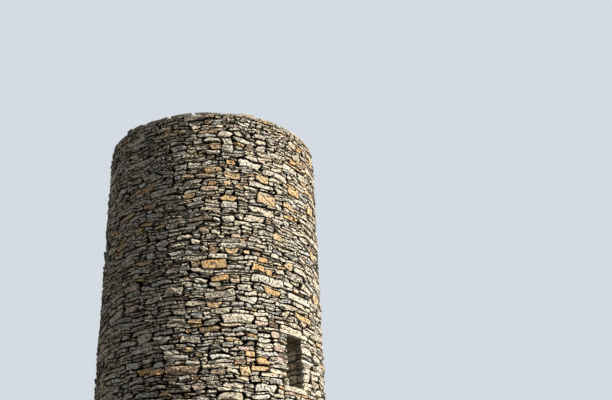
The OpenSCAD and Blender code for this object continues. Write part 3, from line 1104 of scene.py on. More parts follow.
def stone_colours(shells, rng, drift=True):
    """One colour a stone, picked by the shares above and varied by a random factor.

    Drift multiplies the ochre shares by e to a wave, which is the sum of one that goes twice
    round the tower and slopes up it and one that goes round once. The factor is e to a normal
    number, and a second such number turns the colour a little warmer or colder.
    """
    count = len(shells)
    middles = shells[:, 0]
    shares = np.array([share for _, share in STONE_COLOURS], float)
    shares = np.tile(shares, (count, 1))
    if drift:
        angle = np.arctan2(middles[:, 1], middles[:, 0])
        wave = np.sin(2.0 * angle + 1.1 * middles[:, 2] + 0.8) + np.cos(angle + 0.35)
        shares[:, OCHRE_FROM:] *= np.exp(DRIFT * wave)[:, None]
    reach = np.cumsum(shares, axis=1)
    picks = (rng.random(count)[:, None] * reach[:, -1:] > reach).sum(axis=1)
    table = np.array([tone for tone, _ in STONE_COLOURS])
    factor = np.exp(rng.normal(*LIGHTNESS, count))[:, None]
    warmth = rng.normal(0, WARMTH, count)[:, None] * WARMER
    colours = table[picks] * factor * (1 + warmth)
    return colours * np.minimum(1, LIGHTEST / colours.max(axis=1, keepdims=True))


print(len(STONE_COLOURS), "stone colours")

# %% [markdown]
# ## The outer face
# The stones beside a hole show their ends there, as the jamb. Those are long stones laid back
# into the wall, so their shells are deeper and run straight along the hole's axis instead of
# towards the tower's. The stones that the photograph marks out have a calmer look of their own,
# with narrower joints, so that each keeps the size that was judged for it.

# %% Build the outer stones
WALL_LOOK = {"gap": (0.004, 0.038), "cut": (0.03, 0.60), "slant": 0.30, "wedge": 0.12,
             "points_along": 4, "tilt": (0.15, 0.10), "swing": 0.020,
             "uneven": 0.009, "proud": -0.010, "proud_range": (-0.034, 0.014),
             "back": 0.14, "bevel": 0.008, "worn": 0.04, "crown": 0.22, "rough": 0.006}
MARKED_LOOK = dict(WALL_LOOK, gap=(0.004, 0.016), cut=(0.04, 0.45), slant=0.16, wedge=0.06,
                   tilt=(0.05, 0.04), proud=0.003, proud_range=(-0.004, 0.012), crown=0.12)
JAMB_DEPTH = 0.24
SHOWN_DEPTH = 0.55
TOUCHING = 0.002


def jamb_stones(rows, holes, depth, usual):
    """Depths, directions and square ends for the stones that end at a hole.

    Each hole is an angle and a rectangle. The direction is straight along the hole's axis,
    inwards for a positive depth and outwards for a negative one. Other stones have none.
    """
    backs = np.full(len(rows), usual)
    ways = np.full((len(rows), 3), np.nan)
    square = np.zeros((len(rows), 2), bool)
    for angle, (left, right, low, high) in holes:
        level = (rows[:, 2] < high - TOUCHING) & (rows[:, 3] > low + TOUCHING)
        apart = np.stack([np.abs(rows[:, 0] - right), np.abs(rows[:, 1] - left)], axis=1)
        ends = (apart < TOUCHING) & level[:, None]
        square |= ends
        beside = ends.any(axis=1)
        backs[beside] = abs(depth)
        ways[beside] = np.array([-math.cos(angle), -math.sin(angle), 0]) * np.sign(depth)
    return backs, ways, square


# The depth share sets the painted joint shade, so a smaller share darkens a jamb's side less.
def shown_depth(deep, ways):
    """The depth shares of each stone, smaller where its side shows in a jamb."""
    at_jamb = ~np.isnan(ways[:, :1])
    return deep[None] * np.where(at_jamb, SHOWN_DEPTH, 1.0)


wander = wandering(STRIP, outer_holes + outer_slabs, 0, TOP_Z - CAP_THICK)
door_hole, right_hole, left_hole = outer_holes
outer_backs, outer_ways, outer_square = jamb_stones(
    outer_rows, [(DOOR_ANGLE, door_hole), (RIGHT_ANGLE, right_hole), (LEFT_ANGLE, left_hole)],
    JAMB_DEPTH, WALL_LOOK["back"])
plain = len(outer_rows) - len(marked_rows)
shells, edge, deep = stone_shells(
    outer_rows[:plain], outer_face, outer_rng, WALL_LOOK, warp=wander,
    back=outer_backs[:plain], inward=outer_ways[:plain], square=outer_square[:plain])
marked_shells = stone_shells(outer_rows[plain:], outer_face, outer_rng, MARKED_LOOK,
                             warp=wander)[0]
shells = np.concatenate([shells, marked_shells])
shells[..., 2] = np.maximum(shells[..., 2], 0)
outer_deep = shown_depth(deep, outer_ways)
outer_colours = stone_colours(shells, outer_rng)
outer_colours[plain:] = marked_colours
print(len(shells), "shells,", int((outer_backs == JAMB_DEPTH).sum()), "of them at jambs")

# %% [markdown]
# ## Share the stones among the wall's pieces
# The plain model splits the wall into storeys and quarters, and the stones follow it: each one
# belongs to the storey and the quarter that hold its middle. That keeps every piece small enough
# to handle, and each piece then stands for the plain nodes that it hides.

# %% One piece for each storey and quarter
QUARTERS = {"right": 0, "back": 90, "left": 180, "front": 270}
STOREYS = {
    "ground": (0.0, LEDGE_Z), "upper": (LEDGE_Z, TERRACE_LEDGE_Z),
    "parapet": (TERRACE_LEDGE_Z, TOP_Z),
}
WINDOW_WALLS = {
    side: [f"upper_wall_{side}_front", f"upper_wall_{side}_back",
           f"wall_under_{side}_window", f"wall_over_{side}_window"]
    for side in ("right", "left")
}


def hidden_nodes(storey, quarter):
    """The plain nodes that the stones of one storey and quarter stand for."""
    if storey == "parapet":
        return [f"parapet_{quarter}"]
    if storey == "upper":
        return WINDOW_WALLS.get(quarter, [f"upper_wall_{quarter}"])
    if quarter == "front":
        return ["ground_wall_front_left", "ground_wall_front_right", "ground_wall_over_door"]
    return [f"ground_wall_{quarter}"]


def in_quarter(middles, facing):
    """Whether each place is within 45 degrees of a direction, seen from the tower's axis."""
    turned = np.degrees(np.arctan2(middles[:, 1], middles[:, 0]))
    return np.abs((turned - facing + 180) % 360 - 180) <= 45


middles = shells[:, 0]
for storey, (low, high) in STOREYS.items():
    for quarter, facing in QUARTERS.items():
        mine = in_quarter(middles, facing) & (middles[:, 2] >= low) & (middles[:, 2] < high)
        piece = stones_piece(f"{storey}_stones_{quarter}", shells[mine], edge, outer_deep[mine],
                             outer_colours[mine], rubble_finish, outer_rng)
        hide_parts(*hidden_nodes(storey, quarter))
        print(piece.name, int(mine.sum()), "stones")

# %% [markdown]
# ## The faces inside
# Both rooms and the inner side of the parapet are laid by the same packer. The rooms are seen
# through a doorway or from above, so their stones are larger and have fewer faces. A room's strip
# runs the other way round, because one stands inside it.

# %% Stones of the rooms
ROOM_LOOK = {"gap": (0.006, 0.022), "cut": (0.04, 0.55), "slant": 0.12, "wedge": 0.05,
             "points_along": 2, "tilt": (0.10, 0.10), "swing": 0.012,
             "uneven": 0.008, "proud": -0.006, "proud_range": (-0.022, 0.010),
             "back": 0.14, "bevel": 0.010, "worn": 0.05, "crown": 0.0, "rough": 0.003}
PARAPET_LOOK = dict(ROOM_LOOK, points_along=4, cut=(0.04, 0.75), tilt=(0.14, 0.10))
LEDGE_HOLE = 0.08
room_size = stone_sizes(0.120, 0.32, (0.06, 0.22), 2.6, 0.16)


def room_rectangle(radius, angle, half, low, high):
    """A rectangle on a room's strip for an opening of a half width that faces an angle."""
    middle = (SEAM_ANGLE - angle) % FULL_TURN * radius
    reach = math.asin(half / radius) * radius
    return middle - reach, middle + reach, low, high


def room_stones(name, radius, foot, top, holes, slabs, look, size, finish, seed):
    """The stones of a round room, with those at its holes laid back into the jambs."""
    rng = np.random.default_rng(seed)
    length = FULL_TURN * radius
    rectangles = [rectangle for _, rectangle in holes] + slabs
    lifted = [(left, right, low - foot, high - foot) for left, right, low, high in rectangles]
    rows = lay_stones(length, top - foot, size, rng, fixed=lifted) + [0, 0, foot, foot]
    backs, ways, square = jamb_stones(rows, holes, -JAMB_DEPTH, look["back"])
    shells, edge, deep = stone_shells(rows, room_face(radius), rng, look,
                                      warp=wandering(length, rectangles, foot, top),
                                      back=backs, inward=ways, square=square)
    stones_piece(name, shells, edge, shown_depth(deep, ways), stone_colours(shells, rng),
                 finish, rng)
    print(name, len(rows), "stones")


EMBRASURE_HALF = inner_lintel_high[1] - (window_lintel[1][1] - window_high[1])
door_rectangle = room_rectangle(GROUND_ROOM_R, DOOR_ANGLE, door_high[0], FLOOR_Z, door_high[2])
door_slab = room_rectangle(GROUND_ROOM_R, DOOR_ANGLE, door_lintel[1][0], door_high[2],
                           door_lintel[1][2])
window_holes, window_slabs = [], []
for angle in (RIGHT_ANGLE, LEFT_ANGLE):
    window_holes.append((angle, room_rectangle(UPPER_ROOM_R, angle, EMBRASURE_HALF,
                                               window_low[2], window_high[2])))
    window_slabs.append(room_rectangle(UPPER_ROOM_R, angle, inner_lintel_high[1],
                                       window_high[2], inner_lintel_high[2]))
    window_slabs.append(room_rectangle(UPPER_ROOM_R, angle, EMBRASURE_HALF + LEDGE_HOLE,
                                       window_sill[0][2], window_low[2]))
room_stones("ground_room_stones", GROUND_ROOM_R, FLOOR_Z, LEDGE_Z,
            [(DOOR_ANGLE, door_rectangle)], [door_slab], ROOM_LOOK, room_size, room_finish, 21)
room_stones("upper_room_stones", UPPER_ROOM_R, LEDGE_Z, TERRACE_LEDGE_Z, window_holes,
            window_slabs, ROOM_LOOK, room_size, room_finish, 22)
room_stones("parapet_inner_stones", TERRACE_R, TERRACE_LEDGE_Z, COPING_Z, [], [],
            PARAPET_LOOK, rubble_size, rubble_finish, 23)

# %% [markdown]
# ## Jambs
# Between the outer and the inner jamb stones the sides of an opening are faced with stones too.
# The doorway runs straight through the wall. A window is straight near the face and then widens
# towards the room, so that a narrow slit lights it. Each side is a path in plan with an upright
# face over it, first drawn for an opening that faces along X and then turned.

# %% Stones of the jambs
JAMB_OVERLAP = 0.05
SPLAY_BEHIND = JAMB_DEPTH * 0.4
DOOR_MIDDLE_Z = 1.0


def opening_sides(profile, angle):
    """The two sides of an opening as paths. profile is (distance, half width), room side first."""
    turn = np.array([[math.cos(angle), math.sin(angle)], [-math.sin(angle), math.cos(angle)]])
    first = np.array(profile) @ turn
    second = (np.array(profile) * [1, -1])[::-1] @ turn
    return first, second


def jamb_faces(name, profile, angle, foot, top, seed):
    """The stones of both sides of one opening."""
    rng = np.random.default_rng(seed)
    shells = []
    for path in opening_sides(profile, angle):
        face, length = path_face(path)
        rows = lay_stones(length, top - foot, room_size, rng, closed=False) + [0, 0, foot, foot]
        side_shells, edge, deep = stone_shells(rows, face, rng, ROOM_LOOK)
        shells.append(side_shells)
    shells = np.vstack(shells)
    stones_piece(name, shells, edge, deep, stone_colours(shells, rng), room_finish,
                 rng)
    print(name, len(shells), "stones")


door_face = wall_radius(DOOR_MIDDLE_Z) - JAMB_DEPTH + JAMB_OVERLAP
door_room = math.sqrt(GROUND_ROOM_R ** 2 - door_high[0] ** 2) + JAMB_DEPTH - JAMB_OVERLAP
window_face = wall_radius(window_low[2]) - JAMB_DEPTH + JAMB_OVERLAP
splay_end = math.sqrt(UPPER_ROOM_R ** 2 - EMBRASURE_HALF ** 2) + SPLAY_BEHIND
window_half = window_high[1]
splay_half = window_half + (EMBRASURE_HALF - window_half) * (
    (WINDOW_STRAIGHT_X - splay_end) / (WINDOW_STRAIGHT_X - splay_end + SPLAY_BEHIND))
jamb_faces("doorway_jambs", [(door_room, door_high[0]), (door_face, door_high[0])], DOOR_ANGLE,
           FLOOR_Z, door_high[2], 31)
for side, angle in (("right", RIGHT_ANGLE), ("left", LEFT_ANGLE)):
    jamb_faces(f"{side}_window_jambs",
               [(splay_end, splay_half), (WINDOW_STRAIGHT_X, window_half),
                (window_face, window_half)], angle, window_low[2], window_high[2], 32)

# %% [markdown]
# ## The wall behind the stones
# Between the stones one sees the dark bed of the wall. It is a set of thick arcs, set back from
# every face by a little less than the stones are deep. Each arc is a box whose skin is a grid:
# across the box runs the angle, through it the radius, and up it the height. At an opening an
# arc ends on a plane, which is an angle that changes with the radius. A table gives the rings of
# arcs from the foot up: where each starts and ends, the room's radius there and its openings.

# %% Boxes with a grid for a skin
BED_BEHIND = 0.11
BED_CELLS = (96, 4, 3)


def box_skin(cells):
    """Points on a unit box's skin, one for each grid crossing, and its quads facing outwards."""
    cells = np.array(cells)
    points, faces, total = [], [], 0
    for axis in range(3):
        u_axis, v_axis = (axis + 1) % 3, (axis + 2) % 3
        u, v = np.meshgrid(np.arange(cells[u_axis] + 1), np.arange(cells[v_axis] + 1),
                           indexing="ij")
        grid = np.arange(u.size).reshape(u.shape)
        quad = np.stack([grid[:-1, :-1], grid[1:, :-1], grid[1:, 1:], grid[:-1, 1:]], axis=-1)
        quad = quad.reshape(-1, 4)
        for side in (0, 1):
            layer = np.zeros((u.size, 3), int)
            layer[:, u_axis], layer[:, v_axis] = u.ravel(), v.ravel()
            layer[:, axis] = side * cells[axis]
            points.append(layer)
            faces.append((quad if side else quad[:, ::-1]) + total)
            total += u.size
    points, faces = np.vstack(points), np.vstack(faces)
    unique, kept = np.unique(points, axis=0, return_inverse=True)
    return unique / cells, kept.reshape(-1)[faces]


def wall_arc(first, last, low, high, room_r):
    """A thick arc from one end angle to another, set back from both faces of the wall.

    Ends are (angle, half opening at a radius). The angle of an end is moved by the arc sine of
    the half opening over the radius, so that the end is a plane along the opening.
    """
    unit_points, faces = box_skin(BED_CELLS)
    across, through, rise = unit_points.T
    z = low + rise * (high - low)
    inner, outer = room_r + BED_BEHIND, wall_radius(z) - BED_BEHIND
    radius = inner + through * (outer - inner)
    start = first[0] + np.arcsin(first[1](radius) / radius)
    end = last[0] - np.arcsin(last[1](radius) / radius)
    angle = start + across * (end - start)
    return np.stack([radius * np.cos(angle), radius * np.sin(angle), z], axis=1), faces


def joined(parts):
    """Points and faces of several parts as one set."""
    offsets = np.cumsum([0] + [len(points) for points, _ in parts[:-1]])
    return (np.vstack([points for points, _ in parts]),
            [np.vstack([faces + offset for (_, faces), offset in zip(parts, offsets)])])


skin_points, skin_faces = box_skin(BED_CELLS)
print("an arc of the bed has", len(skin_points), "points and", len(skin_faces), "quads")

# %% Beds of the three storeys
WINDOW_SLOPE_X = WINDOW_STRAIGHT_X - UPPER_ROOM_R
THRESHOLD_CLEAR = 0.02
FLAGS_OVERLAP = 0.01


def closed_wall(radius):
    """No opening at all."""
    return np.zeros_like(radius)


def straight_opening(half):
    """Half an opening of one width, with the bed set back from it."""
    return lambda radius: np.full_like(radius, half + BED_BEHIND)


def splayed_opening(radius):
    """Half a window: straight near the face, then widening towards the room."""
    share = np.clip((WINDOW_STRAIGHT_X - radius) / WINDOW_SLOPE_X, 0, 1)
    return window_high[1] + share * (EMBRASURE_HALF - window_high[1]) + BED_BEHIND


def bed_ring(low, high, room_r, openings):
    """The arcs between the openings, each given as its angle and its half width."""
    following = openings[1:] + [(openings[0][0] + FULL_TURN, openings[0][1])]
    return [wall_arc(first, last, low, high, room_r)
            for first, last in zip(openings, following)]


door_bed = straight_opening(door_high[0])
threshold_bed = straight_opening(door_high[0] - BED_BEHIND + THRESHOLD_CLEAR)
flags_bed_r = GROUND_ROOM_R - BED_BEHIND - FLAGS_OVERLAP
lintel_bed = straight_opening(door_lintel[1][0] - BED_BEHIND)
window_lintel_bed = straight_opening(inner_lintel_high[1] - BED_BEHIND)
no_opening = [(0.0, closed_wall)]
windows = [(RIGHT_ANGLE, splayed_opening), (LEFT_ANGLE, splayed_opening)]
window_lintels = [(RIGHT_ANGLE, window_lintel_bed), (LEFT_ANGLE, window_lintel_bed)]
beds = {
    "ground_wall_bed": [
        (0.0, FLOOR_Z, flags_bed_r, [(DOOR_ANGLE, threshold_bed)]),
        (FLOOR_Z, door_high[2], GROUND_ROOM_R, [(DOOR_ANGLE, door_bed)]),
        (door_high[2], door_lintel[1][2], GROUND_ROOM_R, [(DOOR_ANGLE, lintel_bed)]),
        (door_lintel[1][2], LEDGE_Z, GROUND_ROOM_R, [(DOOR_ANGLE, closed_wall)]),
    ],
    "upper_wall_bed": [
        (LEDGE_Z, window_sill[0][2], UPPER_ROOM_R, no_opening),
        (window_sill[0][2], window_high[2], UPPER_ROOM_R, windows),
        (window_high[2], inner_lintel_high[2], UPPER_ROOM_R, window_lintels),
        (inner_lintel_high[2], TERRACE_LEDGE_Z, UPPER_ROOM_R, no_opening),
    ],
    "parapet_bed": [(TERRACE_LEDGE_Z, COPING_Z, TERRACE_R, no_opening)],
}
for name, rings in beds.items():
    arcs = [arc for ring in rings for arc in bed_ring(*ring)]
    points, faces = joined(arcs)
    add_piece(name, points, faces, bed_finish, {})
    print(name, len(arcs), "arcs")

# %% [markdown]
# ## Slabs over and under the openings
# A lintel or a sill is one long slab. Roughly split, it has wavy faces and a broken front, so
# each is the skin of a box whose three coordinates are bent: depth runs from one curved face to
# another, and slow waves push every face in by a few millimetres. A small bevel breaks its edges.

# %% Lintels and sills
SLAB_CELLS = (6, 14, 3)
WAVE_HIGH = 0.012
SLAB_WAVE = (WAVE_HIGH, 1.6 * WAVE_HIGH, 0.7 * WAVE_HIGH)
WAVE_STEPS = (9.0, 17.0, 31.0)
BROKEN_EDGE = 0.006
TINY = 1e-6
SLAB_DARKNESS = 0.55
DARK_FROM = 0.12


def slab_wave(points, rng):
    """Waves between 0 and 1 over points: a sum of three sines with random directions."""
    total = np.zeros(len(points))
    for step in WAVE_STEPS:
        way = rng.normal(0, step, 3)
        total += np.sin(points @ way + rng.uniform(0, FULL_TURN)) / 3
    return 0.5 + 0.5 * total


def on_sides(unit_points):
    """Whether a point of a unit box lies on a side across each of the three axes."""
    return (unit_points < TINY) | (unit_points > 1 - TINY)


def dressed_slab(name, angle, half, z_range, near, far, hidden, tone, seed):
    """A long slab across an opening. near and far give its distance from the axis at (y, z).

    Every side is pushed towards the middle by a wave. The shade grows with the depth behind the
    wall's faces, and a point where two sides meet counts as an edge.
    """
    rng = np.random.default_rng(seed)
    unit_points, faces = box_skin(SLAB_CELLS)
    sides = on_sides(unit_points)
    inwards, across, rise = unit_points.T
    y = half * (2 * across - 1)
    z = z_range[0] + rise * (z_range[1] - z_range[0])
    x = near(y, z) + inwards * (far(y, z) - near(y, z))
    points = np.stack([x, y, z], axis=1)
    middle = points.mean(axis=0)
    pull = np.sign(middle - points)
    for axis, size in enumerate(SLAB_WAVE):
        points[:, axis] += pull[:, axis] * sides[:, axis] * size * slab_wave(points, rng)
    turn = np.array([[math.cos(angle), math.sin(angle), 0],
                     [-math.sin(angle), math.cos(angle), 0], [0, 0, 1]])
    radius = np.hypot(x, y)
    room_r = GROUND_ROOM_R if z_range[0] < LEDGE_Z else UPPER_ROOM_R
    inside = np.minimum(wall_radius(z) - radius, radius - room_r)
    shade = SLAB_DARKNESS * np.clip(inside / DARK_FROM, 0, 1)
    edge = (sides.sum(axis=1) >= 2).astype(float)
    parts = np.stack([edge, shade, np.full(len(points), rng.random())], axis=1)
    values = {"stone_color": np.tile(tone, (len(points), 1)), "stone_parts": parts}
    piece = add_piece(name, points @ turn, [faces], slab_finish, values)
    bevel = piece.modifiers.new("broken_edges", "BEVEL")
    bevel.width, bevel.segments, bevel.limit_method = BROKEN_EDGE, 2, "ANGLE"
    if hidden:
        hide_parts(hidden)


print("the skin of a slab has", len(box_skin(SLAB_CELLS)[0]), "points")

# %% Where each slab goes
DOOR_JOINT, WINDOW_JOINT = 0.004, 0.003
PROUD_AT_DOOR, PROUD_AT_WINDOW = 0.012, 0.014
THRESHOLD_DEEP, PASSAGE_FROM = 0.62, 0.63
PASSAGE_UNDER_FLAGS = 0.08
PASSAGE_SIDE = 0.003
BELOW_LEVEL = 0.004
LEDGE_REACH = 0.07


def at_distance(distance):
    """A flat end at a distance from the axis."""
    return lambda y, z: np.full_like(y, distance)


def at_room(radius):
    """A hollow end that is flush with a round room."""
    return lambda y, z: np.sqrt(radius ** 2 - y ** 2)


def at_face(proud):
    """A round end that stands proud of the leaning wall."""
    return lambda y, z: np.sqrt((wall_radius(z) + proud) ** 2 - y ** 2)


door_z = (door_high[2], door_lintel[1][2])
lintel_half = door_lintel[1][0]
first_joint, second_joint = -door_lintel[1][1], -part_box("door_lintel_middle")[1][1]
dressed_slab("door_lintel_outer_stone", DOOR_ANGLE, lintel_half, door_z,
             at_distance(first_joint + DOOR_JOINT), at_face(PROUD_AT_DOOR),
             "door_lintel_outer", linear(196, 186, 164), 41)
dressed_slab("door_lintel_middle_stone", DOOR_ANGLE, lintel_half, door_z,
             at_distance(second_joint + DOOR_JOINT), at_distance(first_joint - DOOR_JOINT),
             "door_lintel_middle", linear(176, 168, 148), 42)
dressed_slab("door_lintel_inner_stone", DOOR_ANGLE, lintel_half, door_z,
             at_room(GROUND_ROOM_R), at_distance(second_joint - DOOR_JOINT),
             "door_lintel_inner", linear(186, 174, 150), 43)
dressed_slab("door_threshold_stone", DOOR_ANGLE, door_high[0] - PASSAGE_SIDE, (0.0, FLOOR_Z),
             at_distance(wall_radius(0) - THRESHOLD_DEEP), at_face(0.0), "door_threshold",
             linear(180, 172, 154), 44)
dressed_slab("door_passage_stone", DOOR_ANGLE, door_high[0] - PASSAGE_SIDE,
             (0.0, FLOOR_Z - BELOW_LEVEL), at_distance(GROUND_ROOM_R - PASSAGE_UNDER_FLAGS),
             at_distance(wall_radius(0) - PASSAGE_FROM), None, linear(166, 158, 140), 45)
outer_end = at_distance(WINDOW_STRAIGHT_X + WINDOW_JOINT)
inner_end = at_distance(WINDOW_STRAIGHT_X - WINDOW_JOINT)
for side, angle, seed in (("right", RIGHT_ANGLE, 51), ("left", LEFT_ANGLE, 61)):
    dressed_slab(f"{side}_window_lintel_outer_stone", angle, window_lintel[1][1],
                 (window_lintel[0][2], window_lintel[1][2]), outer_end,
                 at_face(PROUD_AT_WINDOW), f"{side}_window_lintel_outer",
                 linear(218, 208, 186), seed)
    dressed_slab(f"{side}_window_lintel_inner_stone", angle, inner_lintel_high[1],
                 (inner_lintel_low[2], inner_lintel_high[2]), at_room(UPPER_ROOM_R),
                 inner_end, f"{side}_window_lintel_inner", linear(178, 168, 146), seed + 1)
    dressed_slab(f"{side}_window_sill_stone", angle, window_sill[1][1],
                 (window_sill[0][2], window_sill[1][2]), outer_end,
                 at_face(PROUD_AT_WINDOW), f"{side}_window_sill",
                 linear(206, 198, 176), seed + 2)
    dressed_slab(f"{side}_window_ledge_stone", angle, EMBRASURE_HALF + LEDGE_REACH,
                 (window_sill[0][2], window_sill[1][2] - BELOW_LEVEL), at_room(UPPER_ROOM_R),
                 inner_end, None, linear(184, 174, 152), seed + 3)
print("lintels, sills and threshold are in place")

# %% [markdown]
# ## Capping of the parapet
# There are no battlements: one course of flat slabs ends the wall. They are laid round a level
# ring, some right across the parapet and some two deep, with uneven edges, so the rim is ragged
# when seen from below. A few loose stones lie on top where the photograph shows them.

# %% Capping slabs
CAP_PROUD = 0.012
CAP_WIDTH = wall_radius(TOP_Z) - TERRACE_R
CAP_R = wall_radius(TOP_Z) + CAP_PROUD
CAP_LOOK = {"gap": (0.006, 0.016), "cut": (0.02, 0.18), "slant": 0.06, "wedge": 0.008,
            "points_along": 4, "tilt": (0.02, 0.02), "swing": 0.005,
            "uneven": 0.005, "proud": -0.004, "proud_range": (-0.012, 0.006),
            "back": 0.07, "bevel": 0.008, "worn": 0.03, "crown": 0.0, "rough": 0.003}
THROUGH_SHARE = 0.3
CAP_REACH = (0.40, 0.62)
CAP_LENGTH = (0.26, 0.60)
CAP_RATIO = 1.26
CAP_EXTRA = 0.025
CAP_SUNK = 0.004


def cap_size(level, rng):
    """How far a slab reaches inwards and how long it is along the rim.

    A share of the slabs passes right across the parapet. The others reach a part of the way.
    """
    across = rng.random() < THROUGH_SHARE
    reach = CAP_WIDTH if across else CAP_WIDTH * rng.uniform(*CAP_REACH)
    return reach, max(rng.uniform(*CAP_LENGTH), reach * CAP_RATIO)


cap_rng = np.random.default_rng(71)
cap_rows = lay_stones(FULL_TURN * CAP_R, CAP_WIDTH, cap_size, cap_rng)
cap_thick = cap_rng.uniform(CAP_THICK, CAP_THICK + CAP_EXTRA, len(cap_rows))
cap_shells, edge, deep = stone_shells(cap_rows, ring_face(TOP_Z - CAP_SUNK, CAP_R), cap_rng,
                                      CAP_LOOK, back=cap_thick)
cap_colours = stone_colours(cap_shells, cap_rng, drift=False)
for quarter, facing in QUARTERS.items():
    mine = in_quarter(cap_shells[:, 0], facing)
    piece = stones_piece(f"capping_{quarter}", cap_shells[mine], edge, deep * SHOWN_DEPTH,
                         cap_colours[mine], slab_finish, cap_rng)
    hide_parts(f"coping_{quarter}")
    print(piece.name, int(mine.sum()), "slabs")

# %% Loose stones on the rim
RIM_IN, RIM_SUNK = 0.01, 0.02
RIM_STONES = {
    "raised_dark": ((129, 133), 0.22, 0.16, 0.065, linear(150, 140, 122)),
    "beside_it": ((137, 127), 0.30, 0.18, 0.040, linear(206, 196, 172)),
    "left_rose": ((114.5, 152), 0.26, 0.20, 0.070, ROSE),
    "flat_tan": ((247, 116), 0.34, 0.20, 0.035, TAN),
}
for name, (pixel, wide, reach, thick, colour) in RIM_STONES.items():
    middle = (wall_place(pixel)[0] - SEAM_ANGLE) % FULL_TURN * CAP_R
    row = np.array([[middle - wide / 2, middle + wide / 2, RIM_IN, RIM_IN + reach]])
    top_face = ring_face(TOP_Z + thick, CAP_R)
    rim_shells, edge, deep = stone_shells(row, top_face, cap_rng, CAP_LOOK,
                                          back=np.array([thick + RIM_SUNK]))
    stones_piece(f"rim_stone_{name}", rim_shells, edge, deep * SHOWN_DEPTH, colour[None],
                 slab_finish, cap_rng)
print(len(RIM_STONES), "loose stones on the rim")

# %% [markdown]
# ## Paving
# The terrace and the ground floor are paved with thin slabs. Their strip is simply a square, and
# whatever would pass the round wall is drawn back to it. The plain discs stay beneath as the bed
# that shows in the joints.

# %% Paving slabs
PAVING_LOOK = {"gap": (0.008, 0.022), "cut": (0.03, 0.35), "slant": 0.08, "wedge": 0.02,
               "points_along": 4, "tilt": (0.008, 0.008), "swing": 0.002,
               "uneven": 0.002, "proud": 0.010, "proud_range": (0.006, 0.013),
               "back": 0.04, "bevel": 0.006, "worn": 0.02, "crown": 0.0, "rough": 0.0015}
PAVING_DEPTH = (0.16, 0.34)
PAVING_LENGTH = (0.24, 0.60)
LEAST_INSIDE = 0.05
WALL_JOINT = 0.012


def paving_size(level, rng):
    """Depth and length of a paving slab."""
    return rng.uniform(*PAVING_DEPTH), rng.uniform(*PAVING_LENGTH)


def plan_rectangle(low, high):
    """The sides (x0, x1, y0, y1) of a box seen from above."""
    return low[0], high[0], low[1], high[1]


def paving(name, z, radius, hole_xy, seed):
    """Slabs on a round floor. hole_xy is a rectangle left out, as (x0, x1, y0, y1), or None.

    A slab stays if its nearest point lies well inside the wall. What passes the wall is drawn
    towards the centre by the share that brings it back to the wall.
    """
    rng = np.random.default_rng(seed)
    fixed = [tuple(value + radius for value in hole_xy)] if hole_xy else []
    rows = lay_stones(2 * radius, 2 * radius, paving_size, rng, fixed=fixed, closed=False)
    nearest = np.stack([np.clip(0, rows[:, 0] - radius, rows[:, 1] - radius),
                        np.clip(0, rows[:, 2] - radius, rows[:, 3] - radius)])
    rows = rows[np.hypot(*nearest) < radius - LEAST_INSIDE]

    def inside(along, across):
        """Places drawn back to the wall."""
        x, y = along - radius, across - radius
        away = np.maximum(np.hypot(x, y), TINY)
        shrink = np.minimum(1, (radius - WALL_JOINT) / away)
        return x * shrink + radius, y * shrink + radius

    shells, edge, deep = stone_shells(rows, flat_face(z, -radius, -radius), rng, PAVING_LOOK,
                                      warp=inside)
    piece = stones_piece(name, shells, edge, deep, stone_colours(shells, rng, drift=False),
                         slab_finish, rng)
    print(piece.name, len(rows), "slabs")


paving("terrace_paving_slabs", PAVING_Z, TERRACE_R,
       plan_rectangle(*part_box("terrace_hatch_curb")), 81)
paving("ground_floor_slabs", FLOOR_Z, GROUND_ROOM_R, None, 82)

# %% [markdown]
# ## Boards
# Both timber floors are round, but their boards are straight: each runs along X from wall to
# wall, so its ends follow the circle. Beside the hatch a board stops at the trimmer. Again a box
# skin does it, with the ends worked out for each of its own points.

# %% Floor boards
BOARD_GAP = 0.006
BOARD_WIDTH = (0.15, 0.21)
MIDDLING_BOARD = 0.18
UNEVEN_TOP, ROUNDED_EDGE = 0.003, 0.002
BOARD_CURVE, CURVE_STEP, CURVE_START = 0.003, 4.0, 6.28
BOARD_CELLS = (12, 2, 1)
RIM_LEFT = 0.02


def board_edges(start, end, rng):
    """Places where boards meet, from start to end: random widths scaled to fill the length."""
    count = max(1, round((end - start) / MIDDLING_BOARD))
    widths = rng.uniform(*BOARD_WIDTH, count)
    return start + np.concatenate([[0], np.cumsum(widths)]) * (end - start) / widths.sum()


def one_board(y0, y1, z_range, left, right, rng):
    """A board between two ends, each a function of y.

    Its top lies a little under the level and falls off to both long edges, which bend to and
    fro by a sine of the distance along the board.
    """
    unit_points, faces = box_skin(BOARD_CELLS)
    along, across, rise = unit_points.T
    y = y0 + BOARD_GAP / 2 + across * (y1 - y0 - BOARD_GAP)
    x = left(y) + along * (right(y) - left(y))
    from_middle = np.abs(2 * across - 1)
    top = z_range[1] - rng.uniform(0, UNEVEN_TOP) - ROUNDED_EDGE * from_middle
    z = z_range[0] + rise * (top - z_range[0])
    phase = rng.uniform(0, CURVE_START)
    y = y + BOARD_CURVE * np.sin(CURVE_STEP * x + phase) * from_middle
    return np.stack([x, y, z], axis=1), faces


